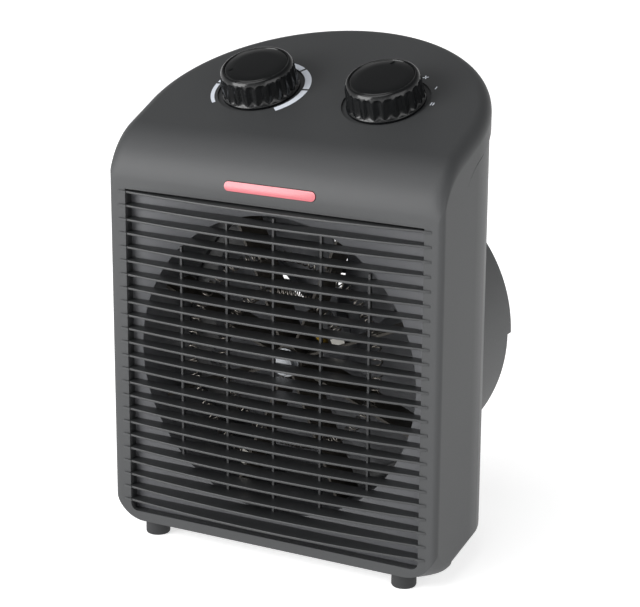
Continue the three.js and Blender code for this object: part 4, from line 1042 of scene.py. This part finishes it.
# ------------------------------------------------------------------ air path
@dataclass
class AirPath:
    """What shows through the louvres and the intake: duct, coil, fan, motor and intake grille."""

    casing: Casing
    plate: tuple[float, float] = (6.3, 8.3)
    duct: tuple[float, float, float] = (83.5, 2.0, 56.2)
    coil_turns: tuple[float, float] = (34.0, 66.0)
    coil_curls: int = 150
    coil_radius: float = 3.0
    wire: float = 0.42
    coil_y: float = 24.5
    fan: tuple[float, float, float, float] = (61.0, 18.0, 78.0, 17.0)
    blades: int = 7

    def air_duct(self) -> bpy.types.Object:
        """Make the plate behind the louvres with its round hole and the tunnel behind it.

        Returns:
            The finished piece.
        """
        front, back = self.plate
        radius, wall, rear = self.duct
        z = self.casing.axis_z
        plate = add_box("duct_plate", (-97.2, front, 11.3), (97.2, back, 203))
        bevel_where(plate, lambda e: abs(e.verts[0].co.y - e.verts[1].co.y) > 1 and e.verts[0].co.z < 20, 16.2, 12)
        combine(plate, Combine.JOIN, add_rod("tunnel", radius + wall, front + 1, rear, Axis.Y, (0, z), 128))
        combine(plate, Combine.CUT, add_rod("hole", radius, -10, 90, Axis.Y, (0, z), 128))
        soften(plate, 0.4)
        # The duct's paler grey is painted light.
        return finish_piece(plate, Body.CASING, "duct_plastic", DUCT_PLASTIC_LIT, "air_duct")

    def heating_coil(self) -> bpy.types.Object:
        """Wind the heating wire into curls along a spiral over the mica arms.

        Returns:
            The finished piece.
        """
        arm = math.pi / 8
        clear = 4 + 0.7 + 0.6
        inner, outer = self.coil_turns
        first = arm + clear / inner
        last = arm + 13 * math.pi / 4 - clear / outer
        steps = self.coil_curls * 12
        curve = bpy.data.curves.new("heating_wire_coil", "CURVE")
        curve.dimensions = "3D"
        curve.bevel_depth = self.wire
        curve.bevel_resolution = 1
        curve.use_fill_caps = True
        line = curve.splines.new("POLY")
        line.points.add(steps)
        helix = self.coil_radius - self.wire
        for i in range(steps + 1):
            angle = first + (last - first) * i / steps
            phase = 2 * math.pi * i / 12
            r = inner + (outer - inner) * i / steps + helix * math.cos(phase)
            line.points[i].co = (r * math.cos(angle), self.coil_y + helix * math.sin(phase),
                                 self.casing.axis_z + r * math.sin(angle), 1)
        only(link("heating_wire_coil", curve))
        bpy.ops.object.convert(target="MESH")
        return finish_piece(bpy.context.object, Body.CASING, "resistance_wire", HEATING_WIRE, "heating_coil",
                            smooth=80)

    def blade(self) -> bpy.types.Object:
        """Shape one fan blade from a grid: twisted, cambered and swept.

        Returns:
            The blade at the fan's right.
        """
        front, depth, tip, hub = self.fan
        bpy.ops.object.select_all(action="DESELECT")
        bpy.ops.mesh.primitive_grid_add(x_subdivisions=14, y_subdivisions=12, size=1)
        blade = bpy.context.object
        for vertex in blade.data.vertices:
            share, u = vertex.co.x + 0.5, vertex.co.y
            radius = hub - 2 + (tip - hub + 2) * share
            chord = 26 + 46 * share
            corner = max(0.0, share - 0.85) / 0.15
            chord *= 1 - 0.04 * corner ** 2
            pitch = math.radians(34 - 21 * share)
            across = u * chord * math.cos(pitch)
            deep = u * chord * math.sin(pitch) + 2 * (1 - (2 * u) ** 2)
            angle = 0.25 * share ** 2 + across / radius
            vertex.co = (radius * math.cos(angle), front + depth / 2 + deep, radius * math.sin(angle))
        apply_modifier(blade, "SOLIDIFY", thickness=1.6, offset=0)
        return soften(blade, 0.5, 2, 50)

    def fan_wheel(self) -> bpy.types.Object:
        """Make the fan from one blade, its copies and a cup-shaped hub.

        Returns:
            The finished piece.
        """
        front, depth, _, hub = self.fan
        first = self.blade()
        turns = [Matrix.Rotation(-2 * math.pi * i / self.blades, 4, "Y") for i in range(1, self.blades)]
        parts = [first, *(copy_of(first, turn) for turn in turns)]
        cup = add_turned("hub", (
            (hub - 2, 0.0), (hub, 0.0), (hub, depth - 5), (hub - 0.5, depth - 2.6), (hub - 1.8, depth - 0.8),
            (hub - 4, depth), (6.0, depth), (0.0, depth)), 72)
        cup.data.transform(Matrix.Translation((0, front + depth, 0)) @ Matrix.Rotation(math.pi / 2, 4, "X"))
        parts.append(cup)
        wheel = merge("fan_wheel", parts)
        wheel.data.transform(Matrix.Translation((0, 0, self.casing.axis_z)))
        # The fan's lighter grey is painted light.
        return finish_piece(wheel, Body.FAN, "duct_plastic", FAN_PLASTIC_LIT, "fan_impeller")

    def motor(self) -> bpy.types.Object:
        """Draw the motor can as a turned cup with a rounded closed end.

        Returns:
            The finished piece.
        """
        can = add_turned("motor_can_drawn", (
            (20.0, 0.0), (21.3, 0.4), (22.0, 1.6), (22.0, 25.0), (20.8, 25.0), (20.8, 2.6), (5.3, 2.6),
            (0.0, 2.6)), 96)
        can.data.transform(Matrix.Translation((0, 87.3, self.casing.axis_z)) @ Matrix.Rotation(-math.pi / 2, 4, "X"))
        return finish_piece(can, Body.CASING, "steel", STEEL, "motor_can")

    def intake_grille(self) -> bpy.types.Object:
        """Make the intake grille: a stepped ring with level bars and two upright ribs.

        Returns:
            The finished piece.
        """
        radius, z = self.casing.intake, self.casing.axis_z
        rear = self.casing.housing_rear - self.casing.rear_wall - 0.3
        front = rear - 2
        end = front + 4.2
        rim = add_rod("rim", radius - 0.3, front, end, Axis.Y, (0, z), 160)
        combine(rim, Combine.JOIN, add_rod("flange", radius + 3, front, rear, Axis.Y, (0, z), 160))
        combine(rim, Combine.CUT, add_rod("open", radius - 3, 60, 140, Axis.Y, (0, z), 160))
        bars = []
        for i in range(-6, 7):
            height = z + i * 12
            if abs(i * 12) > radius - 4:
                continue
            reach = math.sqrt((radius - 1.5) ** 2 - (i * 12) ** 2)
            bar = add_box("bar", (-reach, front + 1.4, height - 1.5), (reach, end - 0.2, height + 1.5))
            bars.append(soften(bar, 0.5))
        for x in (-30, 30):
            reach = math.sqrt((radius - 1.5) ** 2 - x ** 2)
            bars.append(add_box("rib", (x - 1.5, front + 0.2, z - reach), (x + 1.5, front + 1.8, z + reach)))
        grille = merge("intake_grille", [soften(rim, 0.4), *bars])
        # The intake grille takes the louvres' darker grey of painted shade.
        return finish_piece(grille, Body.CASING, "casing_plastic", LOUVRE_PLASTIC_SHADED, "rear_grille")


# ------------------------------------------------------------------ feet
@dataclass
class Feet:
    """Four rubber feet: short ones under the front, tall ones under the climbing tail."""

    radius: float = 6.8
    front: tuple[float, float, float] = (77.4, 9.0, 8.2)
    rear: tuple[float, float, float] = (74.0, 89.5, 26.0)

    def foot(self, name: str, x: float, y: float, top: float) -> bpy.types.Object:
        """Make one foot: a cylinder with a rounded sole.

        Args:
            name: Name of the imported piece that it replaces.
            x: Its place from side to side.
            y: Its place from front to back.
            top: Its height.

        Returns:
            The finished piece.
        """
        foot = add_turned(name + "_moulded", (
            (self.radius - 1.1, 0.0), (self.radius - 0.35, 0.25), (self.radius, 1.0), (self.radius, top - 0.4),
            (self.radius - 0.3, top), (0.0, top)), 48)
        foot.data.transform(Matrix.Translation((x, y, 0)))
        return finish_piece(foot, Body.CASING, "rubber", RUBBER, name)

    def build(self) -> None:
        """Make the four feet."""
        for side, hand in ((-1, "left"), (1, "right")):
            for end, (x, y, top) in (("front", self.front), ("rear", self.rear)):
                self.foot(f"{end}_foot_{hand}", side * x, y, top)


# ------------------------------------------------------------------ studio
@dataclass
class Studio:
    """A pale floor, soft lights and the camera."""

    camera_at: Point = (0.5253, -0.9963, 0.4635)
    yaw: float = 0.487
    pitch: float = 0.286
    roll: float = 0.006
    focal_pixels: float = 2113.2
    picture_width: int = 640

    def floor(self) -> None:
        """Lay the floor."""
        bpy.ops.object.select_all(action="DESELECT")
        bpy.ops.mesh.primitive_plane_add(size=8, location=(0, 0, 0))
        floor = settle(bpy.context.object)
        floor.name = "studio_floor"
        painted(floor, STUDIO_PAPER)

    def light(self, name: str, place: Point, aim: Point, size: float, power: float) -> None:
        """Hang a square soft light.

        Args:
            name: Its name.
            place: Where it hangs, in metres.
            aim: What it points at.
            size: Length of its side.
            power: Its power in watts.
        """
        lamp = bpy.data.lights.new(name, "AREA")
        lamp.size = size
        lamp.energy = power
        obj = link(name, lamp)
        obj.location = place
        obj.rotation_euler = (Vector(aim) - Vector(place)).to_track_quat("-Z", "Y").to_euler()

    def lights(self) -> None:
        """Hang two soft lights and a wide sun in pale surroundings that darken overhead."""
        scene = bpy.context.scene
        scene.view_settings.view_transform = "Standard"
        world = bpy.data.worlds.new("studio")
        world.use_nodes = True
        tree = world.node_tree
        height = node(tree, "ShaderNodeSeparateXYZ", {
            0: node(tree, "ShaderNodeTexCoord").outputs["Generated"]}).outputs["Z"]
        level = node(tree, "ShaderNodeMapRange", {
            "Value": height, "From Min": 0.0, "From Max": 0.75, "To Min": 1.05, "To Max": 0.16},
            interpolation_type="SMOOTHSTEP")
        tree.links.new(level.outputs["Result"], tree.nodes["Background"].inputs["Strength"])
        tree.nodes["Background"].inputs["Color"].default_value = linear("ffffff")
        scene.world = world
        aim = (0.0, 0.0, 0.14)
        self.light("front_soft_light", (-1.1, -1.7, 0.6), aim, 1.4, 42)
        self.light("side_soft_light", (1.6, -0.8, 0.6), aim, 1.4, 9)
        sun = bpy.data.lights.new("wide_sun", "SUN")
        sun.energy = 1.1
        sun.angle = math.radians(50)
        lamp = link("wide_sun", sun)
        lamp.rotation_euler = Vector((0.2, 0.5, -0.82)).to_track_quat("-Z", "Y").to_euler()

    def camera(self) -> None:
        """Place the camera where the picture was taken from."""
        right = Vector((math.cos(self.yaw), math.sin(self.yaw), 0))
        back = Vector((math.sin(self.yaw) * math.cos(self.pitch), -math.cos(self.yaw) * math.cos(self.pitch),
                       math.sin(self.pitch)))
        up = back.cross(right)
        turned = right * math.cos(self.roll) + up * math.sin(self.roll)
        upright = up * math.cos(self.roll) - right * math.sin(self.roll)
        data = bpy.data.cameras.new("camera")
        data.sensor_width = 36.0
        data.lens = self.focal_pixels * data.sensor_width / self.picture_width
        data.clip_end = 50
        camera = link("camera", data)
        rotation = Matrix((turned, upright, back)).transposed().to_4x4()
        camera.matrix_world = Matrix.Translation(self.camera_at) @ rotation
        bpy.context.scene.camera = camera


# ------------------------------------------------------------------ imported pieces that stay
PACKED_FINISHES: dict[str, Grain] = {
    "neon_lamp": LAMP_GLASS,
    "lamp_holder": PHENOLIC,
    # The mica's dark tone is painted shade.
    "element_frame": MICA_SHADED,
    "coil_terminal_inner": NICKEL,
    "coil_terminal_outer": NICKEL,
    "thermal_cutout": STEEL,
    "fan_nut": BRASS,
    "motor_shaft": STEEL,
    "motor_rotor": STEEL,
    "motor_end_cap": PHENOLIC,
    "front_bearing": BRASS,
    "rear_bearing": BRASS,
    "motor_bracket": STEEL,
    "cord_gland": RUBBER,
    "supply_lead": SILICONE,
    "thermostat_spindle": BRASS,
    "thermostat_nut": STEEL,
    "thermostat": PHENOLIC,
    "selector_spindle": PHENOLIC,
    "selector_nut": STEEL,
    "selector_switch": PHENOLIC,
}


def main() -> None:
    """Build the heater and its studio in order."""
    logging.basicConfig(level=logging.INFO, format="%(name)s: %(message)s")
    studio = Studio()
    studio.camera()
    studio.floor()
    studio.lights()
    casing = Casing()
    casing.front_cover()
    casing.rear_cover()
    casing.indicator_lens()
    grille = Grille(casing)
    grille.build()
    grille.ridges()
    Knob(casing, "thermostat_knob_cap", -1, Body.THERMOSTAT, math.radians(215)).build()
    Knob(casing, "selector_knob_cap", 1, Body.SELECTOR, math.radians(90)).build()
    marks = ScaleMarks(casing)
    marks.band()
    marks.signs()
    air = AirPath(casing)
    air.air_duct()
    air.heating_coil()
    air.fan_wheel()
    air.motor()
    air.intake_grille()
    Feet().build()
    for name, finish in PACKED_FINISHES.items():
        dress_node(name, finish)
    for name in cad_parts:
        if "screw" in name:
            dress_node(name, STEEL)


if __name__ == "__main__":
    main()
